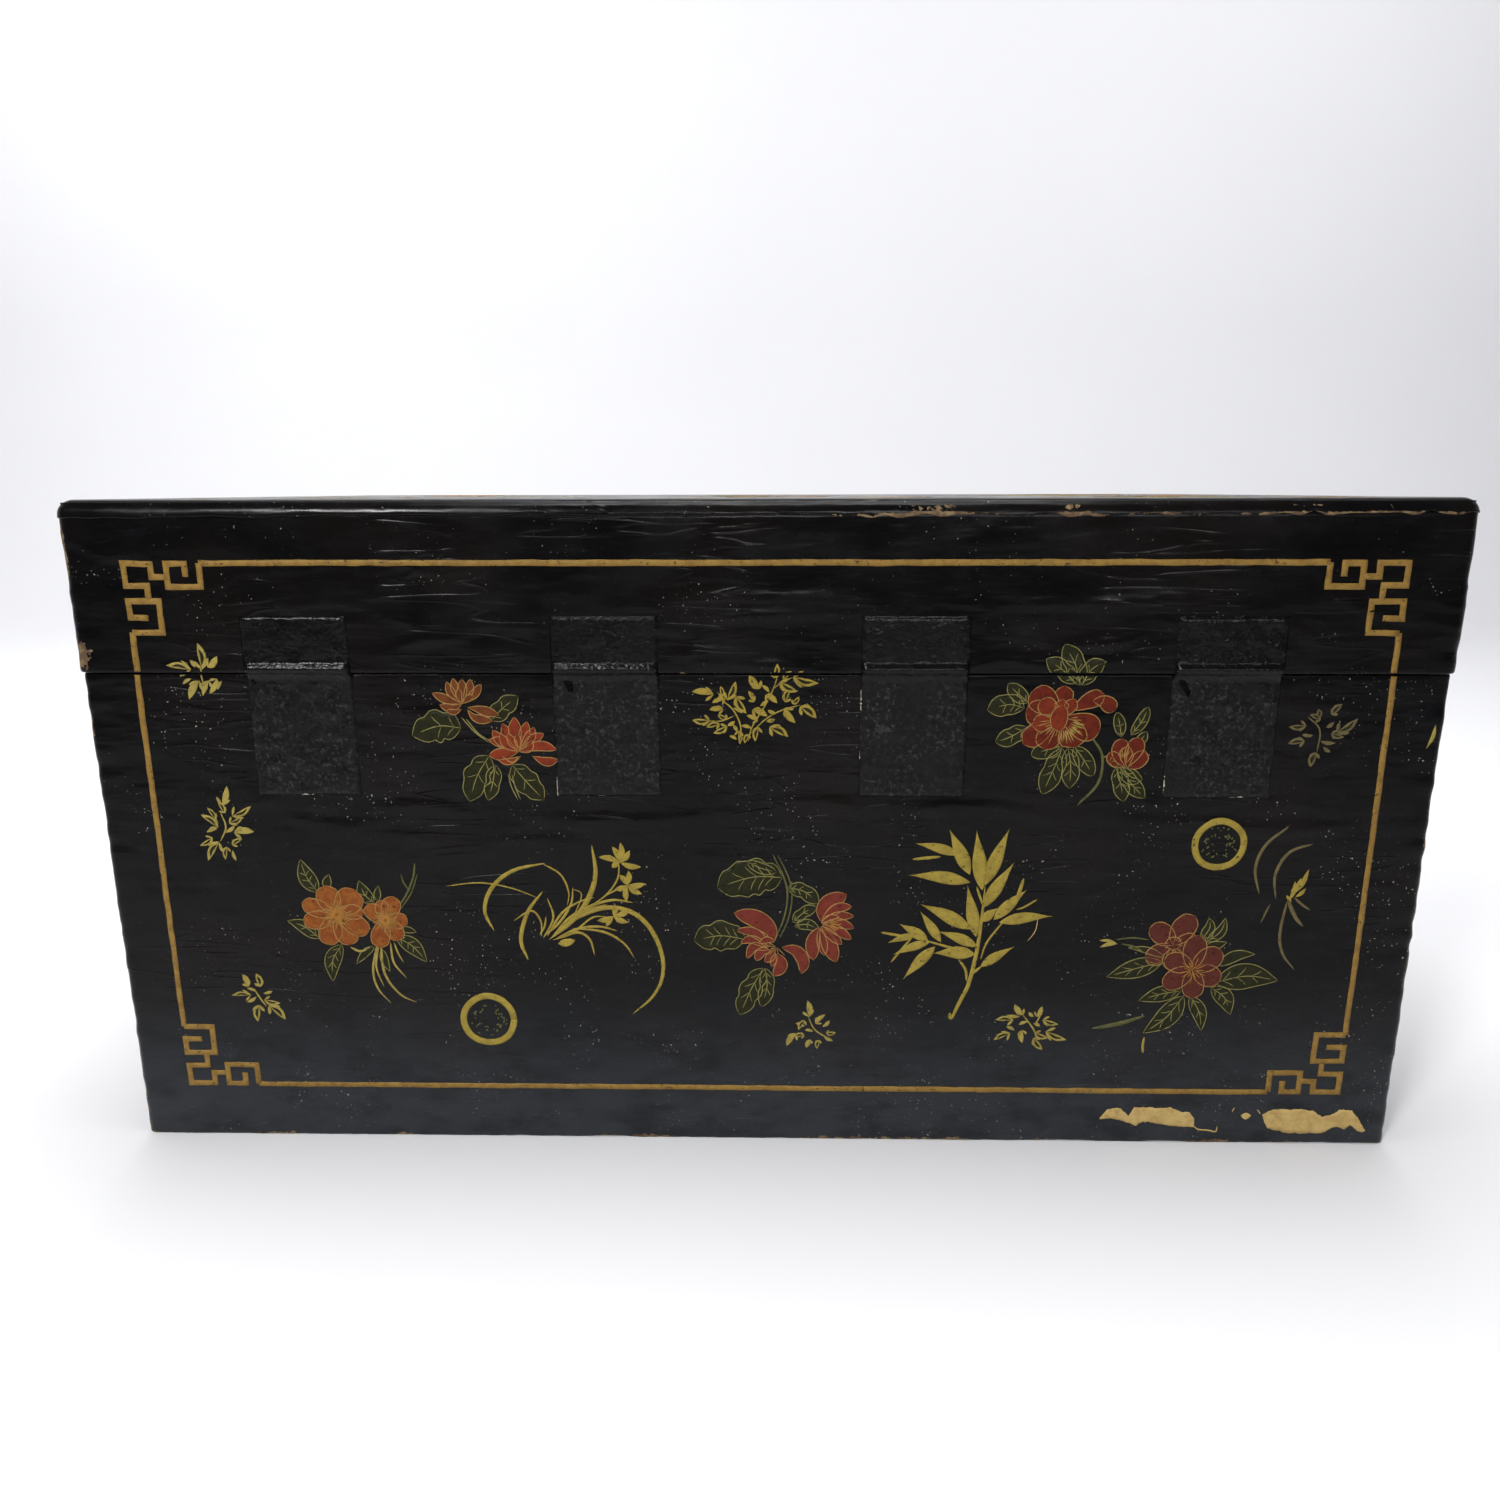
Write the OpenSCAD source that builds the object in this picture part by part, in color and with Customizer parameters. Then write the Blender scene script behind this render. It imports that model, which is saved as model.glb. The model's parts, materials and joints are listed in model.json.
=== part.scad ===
// Lacquered hide trunk: a finger-jointed camphor-wood box and lid under a black hide skin,
// four hide strap hinges, a brass lock with a swinging hasp, and a bail handle at each end.
// Origin: the middle of the underside. +Z is up, -Y leaves the hinge side, +Y the lock side.

/* [Chest] */
// Width over the lid's hide
chest_w = 710; // [560:5:860]
// Depth over the lid's hide
chest_d = 460; // [380:5:600]
// Height from the floor to the top of the lid
chest_h = 356; // [320:1:440]
// Height of the lid, from the seam to its top
lid_h = 87.5; // [80:0.5:105]
// How far the lid stands out past the body on each side
overhang = 2; // [1:0.5:4]
// Gap between the lid's rim and the body's rim
seam_gap = 0.5; // [0.3:0.1:1]
// Radius of the lid's outer edges and corners
edge_r = 8; // [6:0.5:10]

/* [Boards] */
// Thickness of the walls and rails
wall_t = 11; // [9:0.5:14]
// Thickness of the bottom and of the lid's top
panel_t = 10; // [8:0.5:14]
// Thickness of the hide
hide_t = 1.5; // [1:0.1:2.5]
// Thickness of the hide turned over the rims
rim_hide_t = 1; // [0.6:0.1:1.5]
// Fingers in each corner of the body, counting both boards
body_fingers = 7; // [5:2:9]
// Fingers in each corner of the lid, counting both boards
lid_fingers = 3; // [3:2:5]
// Thickness of the lip that the lid drops over
lip_t = 4; // [3:0.5:6]
// How far the lip stands above the walls
lip_rise = 8; // [5:0.5:12]
// Height of the lip below the top of the walls
lip_drop = 27; // [20:1:40]

/* [Strap hinges] */
// Number of straps
strap_count = 4; // [2:1:4]
// Width of a strap
strap_w = 55; // [40:1:70]
// Distance from one strap's middle to the next
strap_pitch = 159; // [120:1:170]
// Length of the flap on the lid, from the seam
strap_up = 29.5; // [20:0.5:40]
// Length of the flap on the body, from the seam
strap_down = 65.5; // [40:0.5:90]
// Thickness of the flaps
strap_t = 1.8; // [1.2:0.1:2.4]

/* [Lock] */
// Radius of the round lock plate
lock_r = 56; // [45:1:62]
// Thickness of the plate
plate_t = 1.2; // [0.8:0.1:2]
// Width of the hasp at its hinge
hasp_w = 40; // [36:1:48]
// Distance from the hasp's pin down to the loops
hasp_reach = 39; // [36:0.5:44]
// Radius of the hole in each loop, for the bar of a padlock
loop_bore_r = 2.8; // [2:0.1:3.2]

/* [Handles] */
// Distance between a handle's two posts
post_pitch = 84; // [70:1:110]
// Height of the posts above the floor
post_z = 186; // [150:1:200]
// Radius of the bail's rod
bail_r = 3; // [2.5:0.1:4]
// Drop from the posts to the middle of the grip
bail_drop = 40; // [32:1:50]

/* [Hidden] */
$fn = 64;

seam_z = chest_h - lid_h;            // underside of the lid's rim
body_top = seam_z - seam_gap;        // top of the body's rim
body_w = chest_w - 2 * overhang;
body_d = chest_d - 2 * overhang;
box_w = body_w - 2 * hide_t;         // the wood of the body, outside
box_d = body_d - 2 * hide_t;
cap_w = chest_w - 2 * hide_t;        // the wood of the lid, outside
cap_d = chest_d - 2 * hide_t;
wall_z0 = hide_t + panel_t;          // the walls stand on the bottom board
wall_z1 = body_top - rim_hide_t;
rail_z0 = seam_z + rim_hide_t;
rail_z1 = chest_h - hide_t - panel_t;
lap_z = chest_h - edge_r;            // where the top hide ends on the lid's sides
body_r = 5;                          // radius of the body's upright corners
face_y = body_d / 2;                 // the body's lock face
lid_face_y = chest_d / 2;            // the lid's lock face

nail_r = 1.2;
nail_l = 30;
nail_head_r = 2.6;
nail_head_t = 1;
nail_sink = 1.3;                     // how far the lid's nails are punched in, under the round edge

knuckle_r = 3.2;
hasp_pin_r = 1.6;
running = 0.06;                      // radial clearance of a turning fit
hasp_pin_z = seam_z + 14.5;
hasp_pin_y = lid_face_y + plate_t + knuckle_r + 0.2;
hasp_t = 2;
hasp_back = -3;                      // inner face of the hasp, from its pin
hasp_rest = 19;                      // the hasp rests on the tips of the loops at this angle
loop_r = 6;
loop_t = 3;
loop_x = 11;
loop_z = hasp_pin_z - hasp_reach;
loop_y = face_y + plate_t + 8.6;
tack_r = 0.9;
tack_l = 9;
tack_head_r = 3;

bail_arm_y = post_pitch / 2 + 12;    // the arms lie outside the posts
bail_bend_r = 12;
pin_bend_r = 6;
post_x = body_w / 2 + 8.5;
post_eye_r = 6;
post_t = 6;
post_shank_r = 2.5;
rosette_r = 12;
rosette_t = 1;

// ---- shapes that repeat ----

// A rectangle with round corners, from true arcs
module rounded_plan(w, d, r) {
    square([w - 2 * r, d], center = true);
    square([w, d - 2 * r], center = true);
    for (sx = [-1, 1], sy = [-1, 1])
        translate([sx * (w / 2 - r), sy * (d / 2 - r)]) circle(r);
}

module quarter_disc(r) {
    intersection() {
        circle(r);
        square(r);
    }
}

// A block on z = 0 whose upright and top edges are rounded to r
module pillow_block(w, d, h, r) {
    linear_extrude(h - r) rounded_plan(w, d, r);
    translate([0, 0, h - r]) {
        linear_extrude(r) square([w - 2 * r, d - 2 * r], center = true);
        for (a = [0, 180]) rotate(a) {
            translate([w / 2 - r, d / 2 - r, 0])
                rotate([90, 0, 0]) linear_extrude(d - 2 * r) quarter_disc(r);
            translate([-w / 2 + r, d / 2 - r, 0])
                rotate([90, 0, 90]) linear_extrude(w - 2 * r) quarter_disc(r);
            translate([w / 2 - r, d / 2 - r, 0]) rotate_extrude(angle = 90) quarter_disc(r);
            translate([-w / 2 + r, d / 2 - r, 0])
                rotate(90) rotate_extrude(angle = 90) quarter_disc(r);
        }
    }
}

module slab(x0, x1, y0, y1, z0, z1) {
    translate([x0, y0, z0]) cube([x1 - x0, y1 - y0, z1 - z0]);
}

// The corner slots of a long board (parity 1) or an end board (parity 0), between z0 and z1
module finger_slots(w, d, z0, z1, count, parity) {
    step = (z1 - z0) / count;
    over = 1;
    in_x = parity ? 0 : over;        // how far a slot runs past the corner block, inwards
    in_y = parity ? over : 0;
    for (i = [parity : 2 : count - 1], a = [0, 1], b = [0, 1])
        mirror([a, 0, 0]) mirror([0, b, 0])
            slab(w / 2 - wall_t - in_x, w / 2 + over, d / 2 - wall_t - in_y, d / 2 + over,
                 z0 + i * step, z0 + (i + 1) * step);
}

// A board along X on the side sy of a box w by d, with its fingers
module long_board(w, d, z0, z1, sy, r, count) {
    intersection() {
        difference() {
            translate([-w / 2, sy > 0 ? d / 2 - wall_t : -d / 2, z0]) cube([w, wall_t, z1 - z0]);
            finger_slots(w, d, z0, z1, count, 1);
        }
        translate([0, 0, z0 - 1]) linear_extrude(z1 - z0 + 2) rounded_plan(w, d, r);
    }
}

// A board along Y at the end sx of the same box, which fills the long boards' slots
module end_board(w, d, z0, z1, sx, r, count) {
    intersection() {
        difference() {
            translate([sx > 0 ? w / 2 - wall_t : -w / 2, -d / 2, z0]) cube([wall_t, d, z1 - z0]);
            finger_slots(w, d, z0, z1, count, 0);
        }
        translate([0, 0, z0 - 1]) linear_extrude(z1 - z0 + 2) rounded_plan(w, d, r);
    }
}

// Nails round a box w by d, driven towards +Z from z = 0, along the middle of its walls;
// above is how far the hole over each head is cut
module nail_ring(w, d, above = 0) {
    for (sy = [-1, 1], x = [-0.44, -0.22, 0, 0.22, 0.44])
        translate([x * w, sy * (d / 2 - wall_t / 2), 0]) nail(above);
    for (sx = [-1, 1], y = [-0.3, 0, 0.3])
        translate([sx * (w / 2 - wall_t / 2), y * d, 0]) nail(above);
}

module nail(above) {
    translate([0, 0, -above]) cylinder(h = nail_head_t + above, r = nail_head_r, $fn = 32);
    cylinder(h = nail_l, r = nail_r, $fn = 32);
}

// ---- the body's wood ----

module bottom_nails() {
    color("dimgray") translate([0, 0, hide_t]) nail_ring(box_w, box_d);
}

module bottom_board() {
    color("burlywood") difference() {
        translate([0, 0, hide_t]) linear_extrude(panel_t) rounded_plan(box_w, box_d, body_r - hide_t);
        bottom_nails();
    }
}

module body_wall(sy) {
    color("burlywood") difference() {
        long_board(box_w, box_d, wall_z0, wall_z1, sy, body_r - hide_t, body_fingers);
        bottom_nails();
        if (sy > 0) {
            loop_tangs();
            body_lock_tacks();
        }
    }
}

module body_end(sx) {
    color("burlywood") difference() {
        end_board(box_w, box_d, wall_z0, wall_z1, sx, body_r - hide_t, body_fingers);
        bottom_nails();
        post_holes(sx);
    }
}

// The lip is a frame of four strips, butted at the corners
module lip_strip(long, side) {
    in_w = box_w - 2 * wall_t;
    in_d = box_d - 2 * wall_t;
    z0 = wall_z1 - lip_drop;
    color("tan") difference() {
        if (long)
            translate([-in_w / 2, side > 0 ? in_d / 2 - lip_t : -in_d / 2, z0])
                cube([in_w, lip_t, lip_drop + lip_rise]);
        else
            translate([side > 0 ? in_w / 2 - lip_t : -in_w / 2, -in_d / 2 + lip_t, z0])
                cube([lip_t, in_d - 2 * lip_t, lip_drop + lip_rise]);
        if (long && side > 0) loop_clinches();
    }
}

// ---- the hide ----

module bottom_hide() {
    color([0.08, 0.08, 0.09])
        linear_extrude(hide_t) rounded_plan(box_w, box_d, body_r - hide_t);
}

// One skin round the four walls, turned over the top of the boards
module body_hide() {
    color([0.08, 0.08, 0.09]) difference() {
        linear_extrude(body_top) rounded_plan(body_w, body_d, body_r);
        translate([0, 0, -1]) linear_extrude(wall_z1 + 1) rounded_plan(box_w, box_d, body_r - hide_t);
        slab(-box_w / 2 + wall_t, box_w / 2 - wall_t, -box_d / 2 + wall_t, box_d / 2 - wall_t, 0, chest_h);
        loop_tangs();
        body_lock_tacks();
        post_holes(-1);
        post_holes(1);
    }
}

module lid_band_hide() {
    color([0.08, 0.08, 0.09]) difference() {
        translate([0, 0, seam_z]) linear_extrude(lap_z - seam_z) rounded_plan(chest_w, chest_d, edge_r);
        translate([0, 0, rail_z0]) linear_extrude(chest_h) rounded_plan(cap_w, cap_d, edge_r - hide_t);
        slab(-cap_w / 2 + wall_t, cap_w / 2 - wall_t, -cap_d / 2 + wall_t, cap_d / 2 - wall_t, 0, chest_h);
        lid_lock_tacks();
    }
}

// The sheet over the top, drawn down round the edge as far as the lap
module lid_top_hide() {
    color([0.08, 0.08, 0.09]) difference() {
        translate([0, 0, seam_z]) pillow_block(chest_w, chest_d, lid_h, edge_r);
        translate([0, 0, seam_z - 1])
            pillow_block(cap_w, cap_d, lid_h + 1 - hide_t, edge_r - hide_t);
        slab(-chest_w, chest_w, -chest_d, chest_d, 0, lap_z);
    }
}

// ---- the lid's wood ----

module lid_nails(above = 0) {
    color("dimgray") translate([0, 0, chest_h - hide_t - nail_sink]) mirror([0, 0, 1])
        nail_ring(cap_w, cap_d, above);
}

module lid_board() {
    color("burlywood") difference() {
        translate([0, 0, seam_z]) pillow_block(cap_w, cap_d, lid_h - hide_t, edge_r - hide_t);
        slab(-chest_w, chest_w, -chest_d, chest_d, 0, rail_z1);
        lid_nails(nail_sink + 1);
    }
}

module lid_rail(sy) {
    color("burlywood") difference() {
        long_board(cap_w, cap_d, rail_z0, rail_z1, sy, edge_r - hide_t, lid_fingers);
        lid_nails();
        if (sy > 0) lid_lock_tacks();
    }
}

module lid_end(sx) {
    color("burlywood") difference() {
        end_board(cap_w, cap_d, rail_z0, rail_z1, sx, edge_r - hide_t, lid_fingers);
        lid_nails();
    }
}

// ---- the strap hinges ----

// One strip of hide: a flap glued down the body, a bead over the seam, and a flap up the lid
module hinge_strap(i) {
    middle = (i - (strap_count + 1) / 2) * strap_pitch;
    body_y = body_d / 2;
    lid_y = chest_d / 2;
    outline = [
        [body_y, seam_z - strap_down],
        [body_y + strap_t, seam_z - strap_down],
        [body_y + strap_t, seam_z - 5],
        [lid_y + 1, seam_z - 1.5],
        [lid_y + 2.6, seam_z + 0.5],
        [lid_y + 3.1, seam_z + 2.5],
        [lid_y + 2.6, seam_z + 4.5],
        [lid_y + strap_t, seam_z + 6.5],
        [lid_y + strap_t, seam_z + strap_up],
        [lid_y, seam_z + strap_up],
        [lid_y, seam_z],
        [body_y, body_top]
    ];
    if (i <= strap_count)
        color([0.1, 0.1, 0.11]) translate([middle - strap_w / 2, 0, 0])
            mirror([0, 1, 0]) rotate([90, 0, 90]) linear_extrude(strap_w) polygon(outline);
}

// ---- the lock ----

// Tacks round half of the round plate: up is 1 on the lid and -1 on the body
module tack_arc(up, y) {
    for (a = [18, 90, 162])
        translate([(lock_r - 8) * cos(a), y, seam_z + up * (lock_r - 8) * sin(a)])
            rotate([-90, 0, 0]) {
                intersection() {
                    translate([0, 0, -3]) sphere(4.4, $fn = 48);
                    cylinder(h = 3, r = tack_head_r, $fn = 48);
                }
                translate([0, 0, -tack_l]) cylinder(h = tack_l, r = tack_r, $fn = 32);
            }
}

module body_lock_tacks() {
    color("darkgoldenrod") tack_arc(-1, face_y + plate_t);
}

module lid_lock_tacks() {
    color("darkgoldenrod") tack_arc(1, lid_face_y + plate_t);
}

// Half of the round plate, with a raised edge, on the face at y
module half_plate(up, y) {
    edge = 3;
    translate([0, y, 0]) rotate([90, 0, 180]) mirror([0, 0, 1]) translate([0, 0, -(plate_t + 0.8)])
        intersection() {
            translate([0, seam_z]) difference() {
                cylinder(h = plate_t + 0.8, r = lock_r, $fn = 96);
                translate([0, 0, -1]) cylinder(h = 1.8, r = lock_r - edge, $fn = 96);
            }
            translate([-lock_r, up > 0 ? seam_z + 1 : seam_z - lock_r, -1])
                cube([2 * lock_r, lock_r - (up > 0 ? 1 : 1 + seam_gap), 4]);
        }
}

module body_lock_plate() {
    color("goldenrod") difference() {
        half_plate(-1, face_y);
        loop_tangs();
        body_lock_tacks();
    }
}

module lid_lock_plate() {
    color("goldenrod") difference() {
        union() {
            half_plate(1, lid_face_y);
            hinge_knuckle(-hasp_w / 2 + 12.3, hasp_w / 2 - 12.3);
            slab(-hasp_w / 2 + 12.3, hasp_w / 2 - 12.3, lid_face_y + plate_t, hasp_pin_y,
                 hasp_pin_z + hasp_pin_r + 0.2, hasp_pin_z + knuckle_r);
        }
        rotate([0, 90, 0]) translate([-hasp_pin_z, hasp_pin_y, -hasp_w])
            cylinder(h = 2 * hasp_w, r = hasp_pin_r, $fn = 48);
        lid_lock_tacks();
    }
}

module hinge_knuckle(x0, x1) {
    translate([x0, hasp_pin_y, hasp_pin_z]) rotate([0, 90, 0]) cylinder(h = x1 - x0, r = knuckle_r);
}

module hasp_pin() {
    color("darkgoldenrod") {
        translate([-hasp_w / 2 - 0.5, hasp_pin_y, hasp_pin_z]) rotate([0, 90, 0])
            cylinder(h = hasp_w + 1, r = hasp_pin_r, $fn = 48);
        for (side = [-1, 1])
            translate([side * (hasp_w / 2 + 1.1), hasp_pin_y, hasp_pin_z]) rotate([0, 90, 0])
                cylinder(h = 1.4, r = 2.4, center = true, $fn = 48);
    }
}

// The hasp hangs from its pin down over the loops, and ends in a cloud head
module hasp() {
    length = hasp_reach + 19;
    color("goldenrod") translate([0, hasp_pin_y, hasp_pin_z]) rotate([hasp_rest, 0, 0])
        translate([0, -hasp_pin_y, -hasp_pin_z]) difference() {
            union() {
                for (side = [-1, 1])
                    hinge_knuckle(side > 0 ? hasp_w / 2 - 12 : -hasp_w / 2,
                                  side > 0 ? hasp_w / 2 : -hasp_w / 2 + 12);
                translate([0, hasp_pin_y + hasp_back + hasp_t, hasp_pin_z]) rotate([90, 0, 0])
                    linear_extrude(hasp_t) hasp_outline(length);
            }
            rotate([0, 90, 0]) translate([-hasp_pin_z, hasp_pin_y, -hasp_w])
                cylinder(h = 2 * hasp_w, r = hasp_pin_r + running, $fn = 48);
            for (side = [-1, 1])
                slab(side * loop_x - loop_t / 2 - 0.3, side * loop_x + loop_t / 2 + 0.3,
                     hasp_pin_y + hasp_back - 1, hasp_pin_y + hasp_back + hasp_t + 1,
                     loop_z - loop_r - 1, loop_z + loop_r + 1);
            slab(-hasp_w / 2 + 12, hasp_w / 2 - 12, hasp_pin_y - 5, hasp_pin_y + 5,
                 hasp_pin_z - knuckle_r - 0.6, hasp_pin_z + knuckle_r + 1);
        }
}

module hasp_outline(length) {
    difference() {
        union() {
            translate([-hasp_w / 2, -length + 24]) square([hasp_w, length - 24]);
            translate([-12, -length + 12]) square([24, 20]);
            for (side = [-1, 1]) translate([side * 14, -length + 22]) circle(10);
            translate([0, -length + 13]) circle(13);
        }
        for (side = [-1, 1]) translate([side * (hasp_w / 2 + 3), -14]) circle(7);
    }
}

// The tangs of the two loops, through the plate, the hide and the wall
module loop_tangs() {
    for (side = [-1, 1]) loop_tang(side);
}

module loop_tang(side) {
    slab(side * loop_x - loop_t / 2, side * loop_x + loop_t / 2,
         box_d / 2 - wall_t - 1.5, loop_y, loop_z - 3, loop_z + 3);
}

module loop_clinches() {
    for (side = [-1, 1]) loop_clinch(side);
}

module loop_clinch(side) {
    slab(side * loop_x - loop_t / 2, side * loop_x + loop_t / 2,
         box_d / 2 - wall_t - 1.5, box_d / 2 - wall_t, loop_z - 11, loop_z + 3);
}

module lock_loop(side) {
    color("darkgoldenrod") difference() {
        union() {
            translate([side * loop_x - loop_t / 2, loop_y, loop_z]) rotate([0, 90, 0])
                cylinder(h = loop_t, r = loop_r);
            loop_tang(side);
            loop_clinch(side);
        }
        translate([-hasp_w, loop_y, loop_z]) rotate([0, 90, 0]) cylinder(h = 2 * hasp_w, r = loop_bore_r);
    }
}

// ---- the handles ----

// What is at an end is drawn at the right end, and turned round for the left one
module at_end(sx) {
    rotate(sx > 0 ? 0 : 180) children();
}

module post_holes(sx) {
    at_end(sx) for (sy = [-1, 1])
        translate([box_w / 2 - wall_t - 1, sy * post_pitch / 2, post_z]) rotate([0, 90, 0])
            cylinder(h = wall_t + hide_t + 2, r = post_shank_r, $fn = 48);
}

module rosettes(sx) {
    color("goldenrod") at_end(sx) for (sy = [-1, 1])
        translate([body_w / 2, sy * post_pitch / 2, post_z]) rotate([0, 90, 0]) difference() {
            union() {
                cylinder(h = rosette_t, r = rosette_r);
                cylinder(h = rosette_t + 0.8, r = rosette_r - 4);
            }
            translate([0, 0, -1]) cylinder(h = 5, r = post_shank_r, $fn = 48);
        }
}

// Each post is an eye on a shank, peened over a washer inside the wall
module posts(sx) {
    inner = box_w / 2 - wall_t;
    color("darkgoldenrod") at_end(sx) for (sy = [-1, 1])
        translate([0, sy * post_pitch / 2, post_z]) difference() {
            union() {
                translate([post_x, 0, 0]) rotate([90, 0, 0])
                    cylinder(h = post_t, r = post_eye_r, center = true);
                translate([inner - 2.2, 0, 0]) rotate([0, 90, 0])
                    cylinder(h = post_x - inner + 2.2, r = post_shank_r, $fn = 48);
                translate([inner - 2.6, 0, 0]) rotate([0, 90, 0])
                    cylinder(h = 1.6, r = 3.6, $fn = 48);
            }
            translate([post_x, 0, 0]) rotate([90, 0, 0])
                cylinder(h = 2 * post_t, r = bail_r + running, center = true);
        }
}

module washers(sx) {
    inner = box_w / 2 - wall_t;
    color("goldenrod") at_end(sx) for (sy = [-1, 1])
        translate([inner - 1, sy * post_pitch / 2, post_z]) rotate([0, 90, 0]) difference() {
            cylinder(h = 1, r = 8);
            translate([0, 0, -1]) cylinder(h = 3, r = post_shank_r, $fn = 48);
        }
}

// Half of a bail, from its turned-in end to the foot of its arm; the other half is this one turned round
module half_bail() {
    pin_y = post_pitch / 2 - post_t / 2 - 2;
    translate([0, pin_y, 0]) rotate([-90, 0, 0]) {
        cylinder(h = 1.6, r = bail_r + 1.2);
        cylinder(h = bail_arm_y - pin_bend_r - pin_y, r = bail_r);
    }
    translate([0, bail_arm_y - pin_bend_r, -pin_bend_r]) rotate([90, 0, 90])
        rotate_extrude(angle = 90) translate([pin_bend_r, 0]) circle(bail_r);
    translate([0, bail_arm_y, -bail_drop + bail_bend_r])
        cylinder(h = bail_drop - bail_bend_r - pin_bend_r, r = bail_r);
    translate([0, bail_arm_y - bail_bend_r, -bail_drop + bail_bend_r]) rotate([90, 0, 90])
        rotate(-90) rotate_extrude(angle = 90) translate([bail_bend_r, 0]) circle(bail_r);
}

// A rod bent into a bail: its ends turn inwards through the posts, and it hangs down
module bail(sx) {
    straight = bail_arm_y - bail_bend_r;
    color("goldenrod") at_end(sx) translate([post_x, 0, post_z]) {
        for (a = [0, 180]) rotate(a) half_bail();
        translate([0, -straight, -bail_drop]) rotate([-90, 0, 0]) cylinder(h = 2 * straight, r = bail_r);
    }
}

bottom_board();
body_wall(-1);  // wall_hinge_side
body_wall(1);  // wall_lock_side
body_end(-1);  // wall_left
body_end(1);  // wall_right
bottom_nails();
bottom_hide();
body_hide();
lip_strip(true, -1);  // lip_hinge_side
lip_strip(true, 1);  // lip_lock_side
lip_strip(false, -1);  // lip_left
lip_strip(false, 1);  // lip_right
hinge_strap(1);  // hinge_strap_1
hinge_strap(2);  // hinge_strap_2
hinge_strap(3);  // hinge_strap_3
hinge_strap(4);  // hinge_strap_4
body_lock_plate();
body_lock_tacks();
lock_loop(-1);  // lock_loop_left
lock_loop(1);  // lock_loop_right
rosettes(-1);  // left_rosettes
rosettes(1);  // right_rosettes
posts(-1);  // left_posts
posts(1);  // right_posts
washers(-1);  // left_washers
washers(1);  // right_washers
lid_board();
lid_rail(-1);  // rail_hinge_side
lid_rail(1);  // rail_lock_side
lid_end(-1);  // rail_left
lid_end(1);  // rail_right
lid_nails();
lid_band_hide();
lid_top_hide();
lid_lock_plate();
lid_lock_tacks();
hasp_pin();
hasp();
bail(-1);  // left_bail
bail(1);  // right_bail
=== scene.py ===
import json
import math

import bmesh
import bpy
import numpy as np
from mathutils import Matrix, Vector

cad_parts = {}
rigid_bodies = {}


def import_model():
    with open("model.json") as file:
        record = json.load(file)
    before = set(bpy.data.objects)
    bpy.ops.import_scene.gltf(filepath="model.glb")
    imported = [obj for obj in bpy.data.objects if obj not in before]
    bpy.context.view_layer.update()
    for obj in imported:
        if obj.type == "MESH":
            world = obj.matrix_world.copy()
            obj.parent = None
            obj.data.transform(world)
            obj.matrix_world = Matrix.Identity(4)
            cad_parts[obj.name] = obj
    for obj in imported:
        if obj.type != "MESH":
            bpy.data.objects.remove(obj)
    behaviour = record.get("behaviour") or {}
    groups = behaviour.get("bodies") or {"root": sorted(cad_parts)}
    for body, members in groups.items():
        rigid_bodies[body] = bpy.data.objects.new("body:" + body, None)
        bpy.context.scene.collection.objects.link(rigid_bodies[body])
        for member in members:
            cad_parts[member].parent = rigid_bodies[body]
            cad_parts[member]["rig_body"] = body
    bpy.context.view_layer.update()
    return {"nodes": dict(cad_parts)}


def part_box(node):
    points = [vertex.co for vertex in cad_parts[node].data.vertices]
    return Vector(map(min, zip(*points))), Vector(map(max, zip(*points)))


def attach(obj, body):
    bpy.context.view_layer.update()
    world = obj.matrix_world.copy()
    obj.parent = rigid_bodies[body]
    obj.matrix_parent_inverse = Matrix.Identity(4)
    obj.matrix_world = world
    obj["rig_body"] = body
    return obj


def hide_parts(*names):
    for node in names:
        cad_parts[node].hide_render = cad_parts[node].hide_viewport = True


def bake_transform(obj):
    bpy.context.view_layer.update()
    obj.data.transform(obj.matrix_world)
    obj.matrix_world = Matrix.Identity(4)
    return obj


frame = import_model()
mm = 0.001


def boxOf(name):
    low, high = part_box(name)
    return np.array(low) / mm, np.array(high) / mm


bodyLow, bodyHigh = boxOf("body_hide")
bandLow, bandHigh = boxOf("lid_band_hide")
lidLow, lidHigh = boxOf("lid_top_hide")
bodyTop = bodyHigh[2]
seamZ = bandLow[2]
lapZ = bandHigh[2]
lidTop = lidHigh[2]

# The camera, the floor and the lights
camera = {
    "place": (5.5, -781.8, 360.0),   # mm
    "pitch": -13.415,
    "roll": 0.112,
    "yaw": 1.091,
    "lens": 26.16,
}


def makeCamera():
    data = bpy.data.cameras.new("camera")
    data.lens = camera["lens"]
    data.sensor_width = 36
    item = bpy.data.objects.new("camera", data)
    bpy.context.scene.collection.objects.link(item)
    turn = Matrix.Rotation(math.radians(camera["yaw"]), 4, "Z")
    turn = turn @ Matrix.Rotation(math.radians(camera["pitch"]), 4, "X")
    turn = turn @ Matrix.Rotation(math.radians(camera["roll"]), 4, "Y")
    turn = turn @ Matrix.Rotation(math.radians(90), 4, "X")
    item.matrix_world = Matrix.Translation(Vector(camera["place"]) * mm) @ turn
    bpy.context.scene.camera = item


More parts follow.
